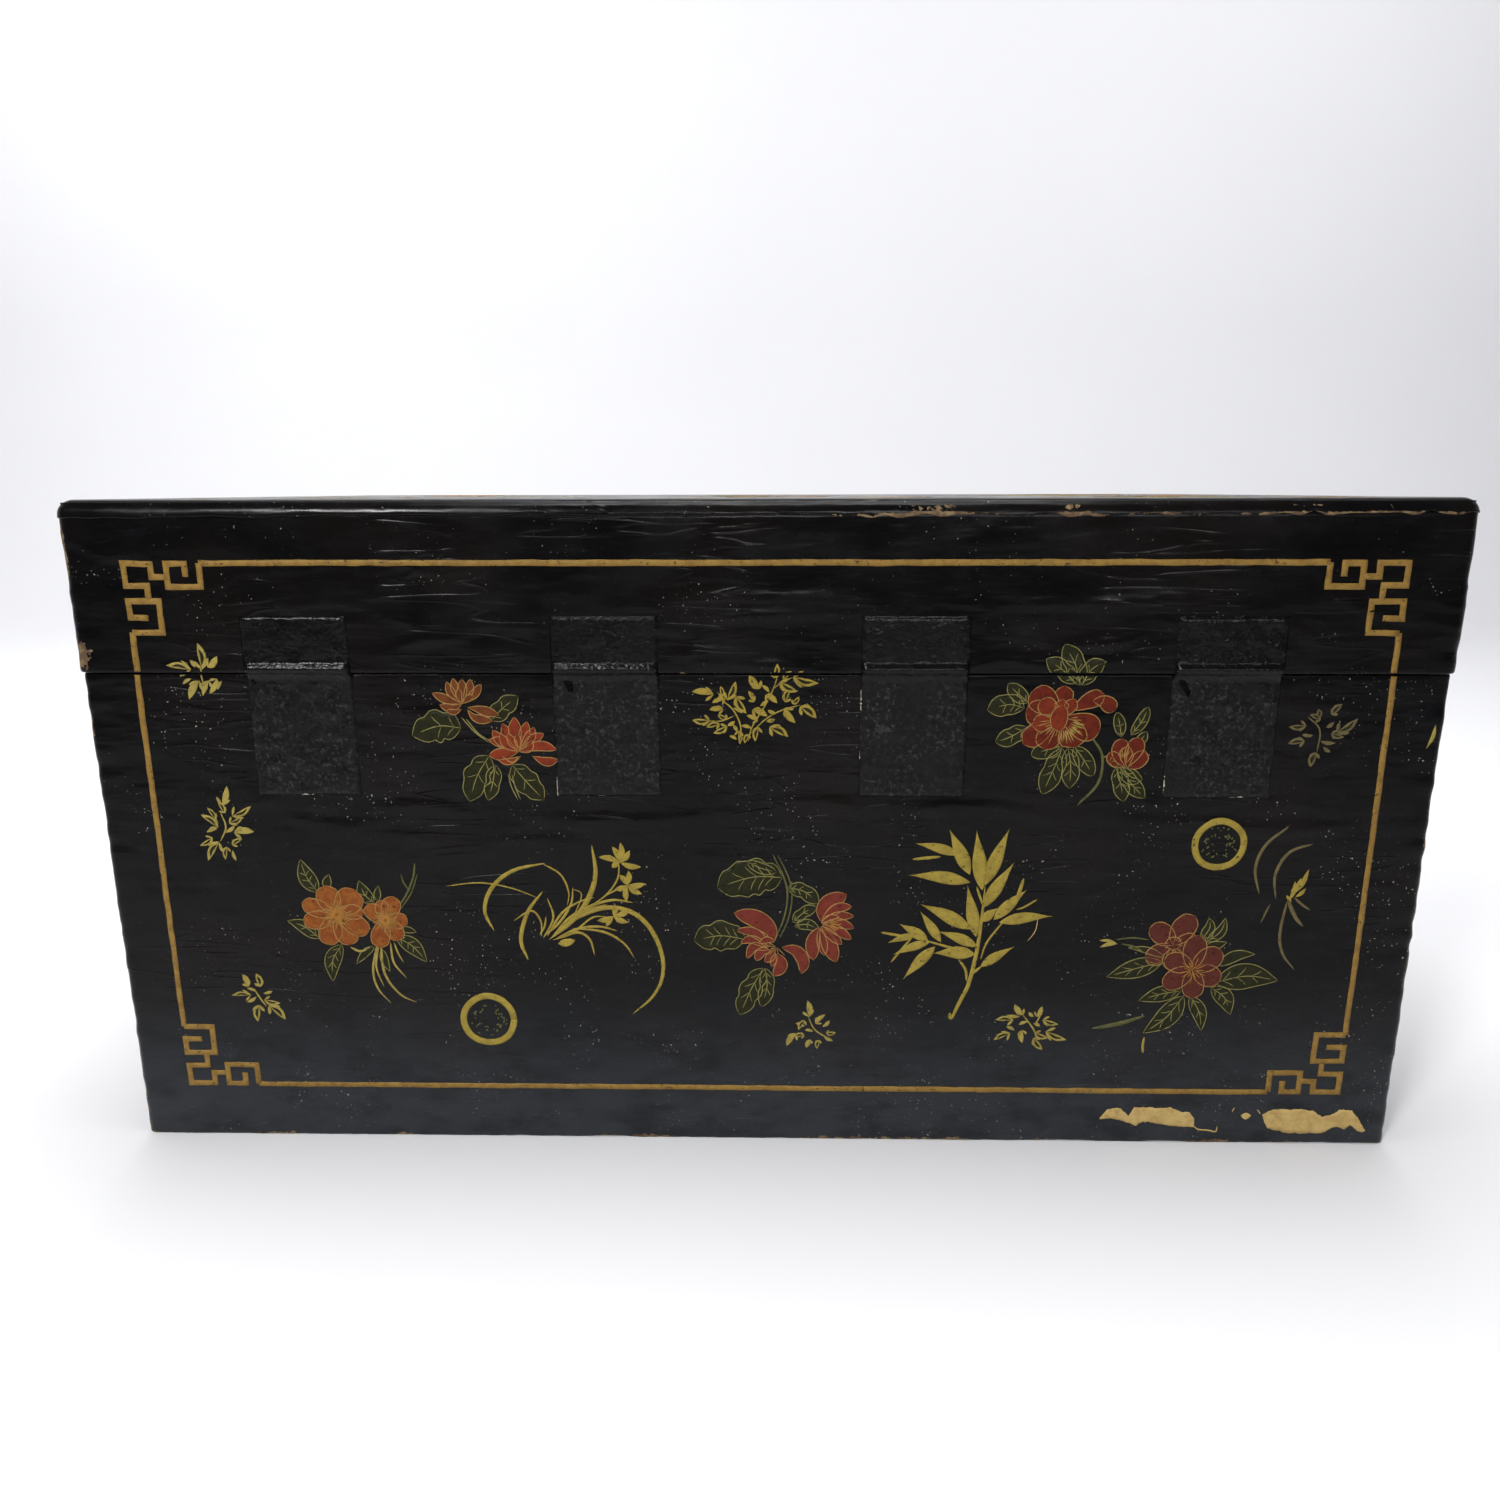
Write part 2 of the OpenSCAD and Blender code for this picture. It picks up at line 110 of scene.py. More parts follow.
stage = {
    "floor": (0.80, 0.80, 0.82),
    "half": (4.6, 3.05),    # m, half the floor's width and depth
    "middle": -0.15,        # m, its middle along Y
    "corner": 1.6,
    "curve": 0.9,           # radius between the floor and the wall
    "height": 4.0,
    "rise": (-2.2, 0.2),    # m, the wall grows from nothing to its full height between these places along Y
    "world": 0.12,
    "lights": [         # name, place, aim, width and height, beam in degrees, watts
        ("key", (-0.85, -1.60, 1.40), (-0.1, -0.25, 0.2), (0.34, 0.34), 110, 9.0),
        ("overhead", (0.0, 0.1, 2.2), (0.0, 0.0, 0.0), (1.3, 1.3), 110, 18),
        ("strip", (0.45, -2.6, 1.02), (0.1, -0.25, 0.25), (1.7, 0.20), 130, 8.5),
        ("backdropLeft", (-1.7, 0.8, 2.5), (-1.9, 2.9, 1.0), (2.0, 2.0), 170, 62),
        ("backdropRight", (1.5, 0.8, 2.5), (1.5, 2.9, 1.0), (2.0, 2.0), 170, 40),
    ],
}


def makeStage():
    # A quarter circle and a wall carried round a floor; towards the viewer the wall sinks away
    half = np.array(stage["half"]) / mm
    plan = planColumns(*half, stage["corner"] / mm, 400, 400, bend=14)
    curve = stage["curve"] / mm
    middle = np.array([0, stage["middle"] / mm])
    first, last = (y / mm for y in stage["rise"])
    steps = [(curve * (1 - math.sin(t)), curve * (1 - math.cos(t))) for t in np.linspace(0, math.pi / 2, 20)]
    rings = [(0 * plan["place"] + middle, 0)]
    rings += [(planRing(plan, inset) + middle, high) for inset, high in [*steps, (0, stage["height"] / mm)]]
    rows = [np.column_stack([ring, high * smoothStep(first, last, ring[:, 1])]) for ring, high in rings]
    sweep = gridObject("sweep", np.stack(rows), floorPaint(), wrapColumns=True, weld=True)
    for name, where, aim, size, beam, watts in stage["lights"]:
        data = bpy.data.lights.new(name, "AREA")
        data.energy = watts
        data.shape = "RECTANGLE"
        data.size, data.size_y = size
        data.spread = math.radians(beam)
        item = bpy.data.objects.new(name, data)
        item.location = where
        item.rotation_mode = "QUATERNION"
        item.rotation_quaternion = (Vector(aim) - Vector(where)).to_track_quat("-Z", "Y")
        bpy.context.scene.collection.objects.link(item)
    world = bpy.data.worlds.new("world")
    world.use_nodes = True
    sky = world.node_tree.nodes["Background"]
    sky.inputs["Color"].default_value = (0.95, 0.97, 1.0, 1)
    sky.inputs["Strength"].default_value = stage["world"]
    bpy.context.scene.world = world
    bpy.context.scene.view_settings.view_transform = "Standard"


# Meshes from arrays
def gridFaces(rows, columns, wrapRows=False, wrapColumns=False):
    # One quad for each cell of a grid of points; a wrapped side also joins last to first
    i = np.arange(rows if wrapRows else rows - 1)[:, None]
    j = np.arange(columns if wrapColumns else columns - 1)[None, :]
    down, right = (i + 1) % rows, (j + 1) % columns
    quads = np.stack(np.broadcast_arrays(
        i * columns + j, i * columns + right, down * columns + right, down * columns + j), -1)
    return quads.reshape(-1, 4)


def meshObject(name, points, faces, material, values=None, weld=False):
    # points in mm; values are numbers kept at each point, by name
    mesh = bpy.data.meshes.new(name)
    points = np.asarray(points, float).reshape(-1, 3)
    mesh.from_pydata((points * mm).tolist(), [], [list(f) for f in faces])
    for key, value in (values or {}).items():
        value = np.asarray(value, np.float32).reshape(len(points), -1)
        kind = "FLOAT" if value.shape[1] == 1 else "FLOAT_VECTOR"
        layer = mesh.attributes.new(key, kind, "POINT")
        layer.data.foreach_set("value" if kind == "FLOAT" else "vector", value.ravel())
    if weld:
        work = bmesh.new()
        work.from_mesh(mesh)
        bmesh.ops.remove_doubles(work, verts=work.verts, dist=0.004 * mm)
        work.to_mesh(mesh)
        work.free()
    mesh.shade_smooth()
    mesh.validate()
    mesh.materials.append(material)
    item = bpy.data.objects.new(name, mesh)
    bpy.context.scene.collection.objects.link(item)
    return item


def gridObject(name, grid, material, wrapRows=False, wrapColumns=False, **more):
    rows, columns = grid.shape[:2]
    return meshObject(name, grid, gridFaces(rows, columns, wrapRows, wrapColumns), material, **more)


def faceOutwards(item, mixed=False):
    # The signed volume of a closed mesh is below zero when its faces point in; mixed ones are first
    # made to agree
    work = bmesh.new()
    work.from_mesh(item.data)
    if mixed:
        bmesh.ops.recalc_face_normals(work, faces=work.faces)
    if work.calc_volume(signed=True) < 0:
        bmesh.ops.reverse_faces(work, faces=work.faces)
    work.to_mesh(item.data)
    work.free()
    return item


def latticeNoise(x, y, z, seed=0):
    # From -1 to 1: a fixed random number at every whole-number point, with a smooth step from one to the next
    x, y, z = np.broadcast_arrays(np.asarray(x, float), np.asarray(y, float), np.asarray(z, float))
    i, j, k = (np.floor(v).astype(np.int64) for v in (x, y, z))
    fx, fy, fz = (v - np.floor(v) for v in (x, y, z))
    fx, fy, fz = (v * v * (3 - 2 * v) for v in (fx, fy, fz))

    def at(di, dj, dk):
        n = (i + di) * 374761393 + (j + dj) * 668265263 + (k + dk) * 1440662683 + seed * 1274126177
        n = (n ^ (n >> 13)) * 1274126177 & 0x7FFFFFFF
        return ((n ^ (n >> 16)) & 0xFFFF) / 32767.5 - 1

    def mix(a, b, t):
        return a + (b - a) * t

    low = mix(mix(at(0, 0, 0), at(1, 0, 0), fx), mix(at(0, 1, 0), at(1, 1, 0), fx), fy)
    high = mix(mix(at(0, 0, 1), at(1, 0, 1), fx), mix(at(0, 1, 1), at(1, 1, 1), fx), fy)
    return mix(low, high, fz)


def smoothStep(low, high, value):
    t = np.clip((value - low) / (high - low), 0, 1)
    return t * t * (3 - 2 * t)


# The skin's own shape
skin = {
    "swell": 0.5,            # mm, broad unevenness
    "ripple": 0.34,          # mm, level wrinkles
    "lidRipple": 0.50,
    "endDents": 0.6,         # mm, dents beside the upright corners
    "folds": [               # on the hinge side: from x, to x, z at each end, rise between, height
        (-214, -150, 193, 192, 4.5, 0.50),
        (-258, -193, 191, 190, -4.5, 0.42),
        (-126, -10, 190, 194, -3.5, 0.55),
        (6, 70, 200, 196, 1.0, 0.45),
        (75, 150, 196, 193, 3.0, 0.50),
        (160, 300, 193, 187, -2.0, 0.42),
        (-262, -150, 181, 176, 2.0, 0.35),
        (-150, -90, 176, 175, 1.5, 0.32),
        (-190, -145, 283, 287, 1.0, 0.42),
        (-160, -112, 291, 292, 1.5, 0.40),
        (-200, -172, 300, 293, 1.0, 0.45),
        (-346, -318, 335, 327, -2.0, 0.50),
        (-330, -300, 330, 327, 1.5, 0.40),
        (-240, -200, 304, 304, 1.2, 0.40),
        (-48, 4, 279, 278, 1.0, 0.45),
        (-36, 30, 273, 270, 1.5, 0.40),
        (120, 200, 276, 277, -3.0, 0.45),
        (70, 104, 150, 152, 1.0, 0.30),
        (150, 196, 163, 161, 1.0, 0.30),
        (-60, 70, 307, 303, 2.5, 0.40),
        (90, 240, 305, 309, -2.5, 0.35),
        (112, 150, 289, 284, 1.5, 0.42),
        (148, 196, 283, 288, -2.0, 0.45),
        (-70, -30, 291, 289, 1.5, 0.40),
        (-20, 40, 297, 300, 1.2, 0.32),
        (36, 110, 196, 194, 1.5, 0.45),
        (225, 318, 183, 188, -1.5, 0.38),
        (-60, 20, 168, 166, 1.2, 0.30),
    ],
}


def sideHeight(x, y, z):
    # Broad swell, level wrinkles that follow the walls round the corners, the folds of the hinge side,
    # and dents at the upright corners
    girth, side = x + y, (x - y) / 420
    swell = latticeNoise(girth / 85, side, z / 60, 3) + 0.5 * latticeNoise(girth / 40, side, z / 26, 4)
    warp = latticeNoise(girth / 55, side, z / 28, 5)
    ridge = np.clip(1 - np.abs(latticeNoise(girth / 48, side, z / 9 + 1.6 * warp, 6)) * 2.4, 0, 1) ** 2
    where = smoothStep(-0.15, 0.55, latticeNoise(girth / 110, side, z / 34, 7))
    ripple = np.where(z > seamZ, skin["lidRipple"], skin["ripple"]) * ridge * (0.25 + 0.75 * where)
    fine = 0.10 * latticeNoise(girth / 14, side, z / 5, 8)
    onFace = smoothStep(200, 226, -y)
    folds = 0
    for x0, x1, z0, z1, rise, height in skin["folds"]:
        t = np.clip((x - x0) / (x1 - x0), 0, 1)
        middle = z0 + (z1 - z0) * t + rise * np.sin(math.pi * t)
        fade = np.sin(math.pi * t) ** 0.6
        folds = folds + 1.6 * height * fade * np.exp(-((z - middle) / 2.3) ** 2)
    corner = smoothStep(330, 352, np.abs(x)) * smoothStep(205, 227, np.abs(y))
    dents = skin["endDents"] * corner * latticeNoise(girth / 30, side, z / 7, 9)
    return 0.5 * skin["swell"] * swell + ripple + fine + folds * onFace + np.minimum(dents, 0.25)


def topHeight(x, y):
    # Broad swell and wrinkles that run along the lid, flat towards its rounded edge
    swell = latticeNoise(x / 120, y / 90, 1.3, 11) + 0.5 * latticeNoise(x / 50, y / 40, 4.1, 12)
    warp = latticeNoise(x / 60, y / 40, 2.2, 13)
    ridge = np.clip(1 - np.abs(latticeNoise(x / 70, y / 13 + 1.5 * warp, 3.3, 14)) * 2.2, 0, 1) ** 2
    where = smoothStep(-0.1, 0.6, latticeNoise(x / 120, y / 70, 5.2, 15))
    return 0.3 * swell + 0.45 * ridge * (0.15 + 0.85 * where)


def planColumns(halfW, halfD, radius, frontStep, otherStep, bend=5):
    # Points round a rectangle with round corners: a place in the rectangle (-1 to 1) and a direction out
    places, normals = [], []
    sides = [((0, -1), (1, 0), halfW, frontStep), ((1, 0), (0, 1), halfD, otherStep),
             ((0, 1), (-1, 0), halfW, otherStep), ((-1, 0), (0, -1), halfD, otherStep)]
    for normal, way, half, step in sides:
        count = int(round(2 * (half - radius) / step))
        t = np.linspace(-1, 1, count + 1)[:, None]
        places.append(np.array(normal) + t * np.array(way))
        normals.append(np.broadcast_to(np.array(normal, float), (count + 1, 2)))
        turn = np.linspace(0, math.pi / 2, bend + 2)[1:-1, None]
        normals.append(np.cos(turn) * np.array(normal) + np.sin(turn) * np.array(way))
        places.append(np.broadcast_to(np.array(normal) + np.array(way), (bend, 2)))
    return {"place": np.concatenate(places), "normal": np.concatenate(normals),
            "half": (halfW, halfD), "radius": radius}


def planRing(plan, inset, least=0.4):
    # The same points moved in by inset; the corners keep at least a small radius
    r = max(plan["radius"] - inset, least)
    half = np.array(plan["half"]) - inset - r
    return plan["place"] * half + plan["normal"] * r


def skinRows(plan, profile, height):
    # A closed section carried round the walls; its points are inset, z, share of the skin's own height
    rows = []
    for inset, z, share in profile:
        ring = planRing(plan, inset)
        z = np.broadcast_to(np.asarray(z, float), len(ring))
        push = share * height(ring[:, 0], ring[:, 1], z)
        rows.append(np.concatenate([ring + plan["normal"] * push[:, None], z[:, None]], -1))
    return np.stack(rows)


def along(ring):
    return ring[:, 0] + ring[:, 1]


hide = {
    "thick": 1.5,
    "row": 2.5,        # mm between rows of points
    "front": 2.3,      # mm between points on the hinge side
    "other": 3.2,
    "edge": 0.9,       # radius of the turned edge
    "board": 11,
    "ragged": 1.6,     # how far the lower edge is worn up in places
}


def edgeArc(inset0, z0, turn0, turn1, share=0.4):
    # A small quarter circle from one face of the skin to the next
    steps = np.radians(np.linspace(turn0, turn1, 4))
    return [(inset0 - hide["edge"] * math.cos(t), z0 + hide["edge"] * math.sin(t), share) for t in steps]


def makeBodyHide():
    plan = planColumns(bodyHigh[0], bodyHigh[1], 5, hide["front"], hide["other"])
    ring = planRing(plan, 0)
    ragged = hide["ragged"] * np.clip(latticeNoise(along(ring) / 26, 0.3, 0.7, 21), 0, 1)
    ragged = ragged + 0.35 * np.clip(latticeNoise(along(ring) / 5, 0.3, 0.7, 22), 0, 1)
    levels = np.arange(hide["row"], bodyTop - hide["edge"] - 0.5, hide["row"])
    profile = [(hide["thick"], 0.1 + ragged, 0), (0.5, 0.1 + ragged, 0.5)]
    profile += [(0, z + ragged * max(0, 1 - z / 9), 1) for z in [0.7, *levels]]
    profile += edgeArc(hide["edge"], bodyTop - hide["edge"], 0, 90)
    inner = hide["thick"] + hide["board"]
    profile += [(4, bodyTop, 0), (8, bodyTop, 0), (inner, bodyTop, 0), (inner, bodyTop - 1, 0)]
    profile += [(hide["thick"], bodyTop - 1, 0)]
    grid = skinRows(plan, profile, sideHeight)
    item = gridObject("bodyHide", grid, lacquer(), wrapRows=True, wrapColumns=True,
                      values={"wear": sideWear(grid)})
    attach(faceOutwards(item), "chest_body")
    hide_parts("body_hide")


def makeBandHide():
    plan = planColumns(lidHigh[0], lidHigh[1], 8, hide["front"], hide["other"], bend=7)
    levels = np.arange(seamZ + hide["edge"] + 1.2, lapZ + 2, 2.3)
    inner = hide["thick"] + hide["board"]
    profile = [(hide["thick"], seamZ + 1, 0), (inner, seamZ + 1, 0), (inner, seamZ, 0), (8, seamZ, 0),
               (4, seamZ, 0)]
    profile += edgeArc(hide["edge"], seamZ + hide["edge"], -90, 0)
    profile += [(0, z, 1 - smoothStep(lapZ - 3, lapZ + 1, z)) for z in levels]
    profile += [(0.6, levels[-1] + 0.8, 0), (hide["thick"], levels[-1] + 0.8, 0)]
    grid = skinRows(plan, profile, sideHeight)
    item = gridObject("lidBandHide", grid, lacquer(), wrapRows=True, wrapColumns=True,
                      values={"wear": sideWear(grid)})
    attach(faceOutwards(item), "lid")
    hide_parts("lid_band_hide")


lap = {
    "proud": 0.75,      # mm that the top skin stands out over the band
    "radius": 8,
    "wave": 1.2,        # mm, unevenness of its lower edge
    "grid": 3.0,
}


def makeTopHide():
    # The walls' plan carried up over a quarter circle, then a flat grid whose border is the last ring
    plan = planColumns(lidHigh[0], lidHigh[1], lap["radius"], lap["grid"], lap["grid"], bend=7)
    ring = planRing(plan, 0)
    worn = smoothStep(-40, 120, ring[:, 0]) * smoothStep(-200, -225, ring[:, 1])
    wave = lap["wave"] * (latticeNoise(along(ring) / 37, 0.2, 0.9, 31)
                          + (0.3 + 0.9 * worn) * latticeNoise(along(ring) / 7, 0.2, 0.9, 32))
    start = lapZ - 0.4 + wave
    profile = [(hide["thick"], start, 0), (0.1, start, 0), (0.05 - lap["proud"], start + 0.25, 0.2),
               (-lap["proud"], start + 0.9, 0.6)]
    turns = np.radians(np.linspace(14, 90, 9))
    profile += [(lap["radius"] * (1 - math.cos(t)) - lap["proud"] * math.cos(t),
                 lapZ + lap["radius"] * math.sin(t), 0.6 * math.cos(t)) for t in turns]
    sides = skinRows(plan, profile, sideHeight)
    halfW, halfD = lidHigh[0] - lap["radius"], lidHigh[1] - lap["radius"]
    xs = np.linspace(-halfW, halfW, int(round(2 * halfW / lap["grid"])) + 1)
    ys = np.linspace(-halfD, halfD, int(round(2 * halfD / lap["grid"])) + 1)
    x, y = np.meshgrid(xs, ys)
    fade = smoothStep(0, 10, halfW - np.abs(x)) * smoothStep(0, 10, halfD - np.abs(y))
    top = np.stack([x, y, lidTop + fade * topHeight(x, y) - 0.3 * fade], -1)
    sides[-1, :, :2] = planRing(plan, lap["radius"], 1e-6)
    sides[-1, :, 2] = lidTop
    under = sides[0] * [1, 1, 0] + [0, 0, lidTop - hide["thick"]]
    floor = np.stack([under, np.zeros_like(under) + [0, 0, lidTop - hide["thick"]]])
    parts = [(sides, True), (top, False), (np.stack([sides[0], under]), True), (floor, True)]
    points, faces, start = [], [], 0
    for grid, wrap in parts:
        rows, columns = grid.shape[:2]
        points.append(grid.reshape(-1, 3))
        faces.append(gridFaces(rows, columns, False, wrap) + start)
        start += rows * columns
    points = np.concatenate(points)
    item = meshObject("lidTopHide", points, np.concatenate(faces), lacquer(False), weld=True,
                      values={"wear": topWear(points)})
    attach(faceOutwards(item, mixed=True), "lid")
    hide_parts("lid_top_hide")


# Where the lacquer has chipped: from 0, whole, to 1, gone
wear = {
    "foot": 0.62,
    "rim": 0.42,
    "corner": 0.78,
    "lap": 0.84,
}


def sideWear(points):
    x, y, z = np.moveaxis(np.asarray(points).reshape(-1, 3), -1, 0)
    patch = smoothStep(-0.2, 0.5, latticeNoise((x + y) / 24, (x - y) / 300, z / 20, 41))
    foot = wear["foot"] * smoothStep(5, 0.5, z) * (0.35 + 0.65 * patch)
    rim = wear["rim"] * smoothStep(2.2, 0.4, np.abs(z - seamZ)) * patch
    upright = smoothStep(bodyHigh[0] - 7, bodyHigh[0], np.abs(x)) * smoothStep(bodyHigh[1] - 7, bodyHigh[1],
                                                                               np.abs(y))
    corner = wear["corner"] * upright * patch
    heel = 0.75 * smoothStep(16, 2, np.hypot(x + lidHigh[0] - 2, z - seamZ - 9)) * smoothStep(180, 228, -y)
    return np.max([foot, rim, corner, heel], axis=0)


def topWear(points):
    x, y, z = np.moveaxis(np.asarray(points).reshape(-1, 3), -1, 0)
    patch = smoothStep(-0.3, 0.5, latticeNoise(x / 22, y / 22, 0.4, 42))
    rightFront = smoothStep(-60, 120, x) * smoothStep(190, 226, -y)
    edge = wear["lap"] * smoothStep(lapZ + 2.8, lapZ + 0.5, z) * (0.25 * patch + rightFront
                                                                  * (0.50 + 0.50 * patch))
    flakes = 0.56 * rightFront * smoothStep(lapZ + 8, lapZ + 4, z) * patch
    edge = np.maximum(edge, flakes)
    corner = 0.8 * smoothStep(lidHigh[0] - 9, lidHigh[0] - 3, np.abs(x)) * smoothStep(
        lidHigh[1] - 9, lidHigh[1] - 3, np.abs(y)) * (0.35 + 0.65 * patch) * (z > lapZ)
    return np.maximum(edge, corner)


# Materials
def newMaterial(name):
    material = bpy.data.materials.new(name)
    material.use_nodes = True
    return material, material.node_tree, material.node_tree.nodes["Principled BSDF"]


def node(tree, kind, inputs=None, **settings):
    item = tree.nodes.new("ShaderNode" + kind)
    for key, value in settings.items():
        setattr(item, key, value)
    for key, value in (inputs or {}).items():
        if isinstance(value, bpy.types.NodeSocket):
            tree.links.new(value, item.inputs[key])
        else:
            item.inputs[key].default_value = value
    return item


def place(tree, size):
    # Object coordinates in which one unit is this many mm along each axis
    coords = node(tree, "TexCoord").outputs["Object"]
    return node(tree, "Mapping", {0: coords, 3: tuple(1 / (mm * s) for s in size)}).outputs[0]


def cloud(tree, size, detail=3, rough=0.55, distort=0.0):
    where = place(tree, size if isinstance(size, tuple) else (size,) * 3)
    return node(tree, "TexNoise", {"Vector": where, "Scale": 1, "Detail": detail, "Roughness": rough,
                                   "Distortion": distort}).outputs["Fac"]


def spread(tree, value, low, high, first=0.0, last=1.0):
    return node(tree, "MapRange", {0: value, 1: low, 2: high, 3: first, 4: last},
                interpolation_type="SMOOTHSTEP").outputs[0]


def calc(tree, kind, a, b):
    return node(tree, "Math", {0: a, 1: b}, operation=kind).outputs[0]


def blend(tree, share, a, b):
    a, b = ((*c, 1) if isinstance(c, tuple) else c for c in (a, b))
    return node(tree, "Mix", {0: share, 6: a, 7: b}, data_type="RGBA").outputs[2]


def bumps(tree, shader, *heights):
    # Each is a height from 0 to 1 and its size in mm
    normal = None
    for height, size in heights:
        inputs = {"Height": height, "Distance": size * mm, "Strength": 1.0}
        if normal:
            inputs["Normal"] = normal
        normal = node(tree, "Bump", inputs).outputs[0]
    tree.links.new(normal, shader.inputs["Normal"])


def keptNumber(tree, name):
    return node(tree, "Attribute", attribute_name=name, attribute_type="GEOMETRY")


def memo(maker):
    made = {}

    def once(*key):
        if key not in made:
            made[key] = maker(*key)
        return made[key]
    return once


@memo
def floorPaint():
    material, tree, shader = newMaterial("floorPaint")
    tone = cloud(tree, 400, 2)
    tree.links.new(blend(tree, tone, stage["floor"], tuple(0.97 * c for c in stage["floor"])),
                   shader.inputs["Base Color"])
    shader.inputs["Roughness"].default_value = 0.9
    shader.inputs["Specular IOR Level"].default_value = 0.1
    return material


lacquerLook = {
    "deep": (0.0017, 0.0017, 0.0020),
    "brown": (0.0046, 0.0034, 0.0030),
    "rubbed": (0.0075, 0.0078, 0.0088),
    "dust": (0.030, 0.033, 0.038),
    # painted light: the floor's bounce, a lighter and bluer tone towards the foot, up to the height below
    "speck": (0.30, 0.28, 0.23),
    "floorBounceHeight": 110,    # mm above the floor
    "rawHide": (0.215, 0.150, 0.078),
    "rawDark": (0.095, 0.058, 0.033),
}


@memo
def lacquer(level=True):
    # Black lacquer over wrinkled hide; level wrinkles on the walls, wrinkles along the lid on its top;
    # painted floor-bounce light makes it lighter towards the foot
    look = lacquerLook
    material, tree, shader = newMaterial("lacquer" if level else "lacquerTop")
    colour = blend(tree, spread(tree, cloud(tree, 75, 3), 0.35, 0.7), look["deep"], look["brown"])
    dusty = spread(tree, cloud(tree, (26, 26, 9), 5, 0.65), 0.50, 0.74, 0, 0.45)
    colour = blend(tree, dusty, colour, look["rubbed"])
    height = node(tree, "SeparateXYZ", {0: node(tree, "TexCoord").outputs["Object"]}).outputs[2]
    # Painted floor-bounce light: lighter and bluer towards the foot of each wall, in clouds
    foot = calc(tree, "MULTIPLY", spread(tree, height, 0.0, look["floorBounceHeight"] * mm, 0.85, 0.0),
                spread(tree, cloud(tree, (30, 30, 14), 5, 0.65), 0.25, 0.6, 0.45, 1.0))
    colour = blend(tree, foot, colour, look["dust"])
    specks = calc(tree, "MULTIPLY", spread(tree, cloud(tree, 1.3, 1), 0.735, 0.755),
                  spread(tree, cloud(tree, 45, 3), 0.48, 0.62))
    colour = blend(tree, specks, colour, look["speck"])
    chips = calc(tree, "ADD", keptNumber(tree, "wear").outputs["Fac"], cloud(tree, 3.2, 4, 0.6))
    bare = spread(tree, chips, 1.0, 1.04)
    raw = blend(tree, spread(tree, cloud(tree, 5, 3), 0.4, 0.65), look["rawDark"], look["rawHide"])
    tree.links.new(blend(tree, bare, colour, raw), shader.inputs["Base Color"])
    gloss = spread(tree, cloud(tree, (40, 40, 16), 4, 0.6), 0.3, 0.75, 0.16, 0.34)
    tree.links.new(calc(tree, "ADD", gloss, calc(tree, "MULTIPLY", bare, 0.4)), shader.inputs["Roughness"])
    shader.inputs["Specular IOR Level"].default_value = 0.13
    stretch = (75, 75, 10.0) if level else (75, 11.0, 75)
    crease = node(tree, "Math", {0: calc(tree, "SUBTRACT", cloud(tree, stretch, 1, 0.4, 0.5), 0.5)},
                  operation="ABSOLUTE").outputs[0]
    ridge = calc(tree, "MULTIPLY", spread(tree, crease, 0.0, 0.035, 1, 0),
                 spread(tree, cloud(tree, 70, 2), 0.48, 0.62))
    pebble = node(tree, "TexVoronoi", {"Vector": place(tree, (1.5, 1.5, 1.5)),
                                       "Scale": 1}).outputs["Distance"]
    bumps(tree, shader, (cloud(tree, (30, 30, 8), 2, 0.5), 0.5), (ridge, 0.14), (pebble, 0.012),
          (calc(tree, "SUBTRACT", 1.0, bare), 0.35))
    return material


strapLook = {
    "dark": (0.0022, 0.0022, 0.0024),
    "grey": (0.037, 0.037, 0.037),
    "chip": (0.46, 0.42, 0.34),
}


@memo
def strapLeather():
    look = strapLook
    material, tree, shader = newMaterial("strapLeather")
    mottle = spread(tree, cloud(tree, 2.6, 5, 0.75), 0.50, 0.68)
    large = spread(tree, cloud(tree, 20, 3), 0.38, 0.62, 0.25, 1.0)
    flaky = calc(tree, "MULTIPLY", mottle, calc(tree, "MULTIPLY", large,
                                                keptNumber(tree, "rough").outputs["Fac"]))
    colour = blend(tree, flaky, look["dark"], look["grey"])
    chips = calc(tree, "ADD", keptNumber(tree, "wear").outputs["Fac"], cloud(tree, 2.4, 4, 0.6))
    bare = spread(tree, chips, 1.0, 1.05)
    tree.links.new(blend(tree, bare, colour, look["chip"]), shader.inputs["Base Color"])
    dull = calc(tree, "MULTIPLY", keptNumber(tree, "rough").outputs["Fac"], 0.17)
    tree.links.new(calc(tree, "ADD", dull, spread(tree, cloud(tree, 12, 4), 0.3, 0.7, 0.10, 0.2)),
                   shader.inputs["Roughness"])
    shader.inputs["Specular IOR Level"].default_value = 0.18
    grit = node(tree, "TexVoronoi", {"Vector": place(tree, (2.1, 2.1, 2.1)), "Scale": 1, "Randomness": 1},
                feature="SMOOTH_F1").outputs["Distance"]
    bumps(tree, shader, (cloud(tree, 5, 5, 0.65), 0.45), (grit, 0.22), (cloud(tree, 0.9, 3), 0.06))
    return material


# The four straps: a flap down the body, a bead over the seam and a flap up the lid
straps = {
    "nodes": ["hinge_strap_1", "hinge_strap_2", "hinge_strap_3", "hinge_strap_4"],
    "thick": 0.9,
    "bead": 2.8,         # mm that the bead stands out from the lid
    "beadZ": 2.3,        # its middle above the seam
    "beadHalf": 2.6,
    "step": 1.6,         # mm between points across
    "rowStep": 1.3,
    "back": 0.9,         # mm that its back lies inside the skin under it
}


def wallAt(z):
    # How far out the hinge side lies at a height, from the body's skin to the lid's
    return bodyHigh[1] + (lidHigh[1] - bodyHigh[1]) * smoothStep(seamZ - 4, seamZ + 1, z)


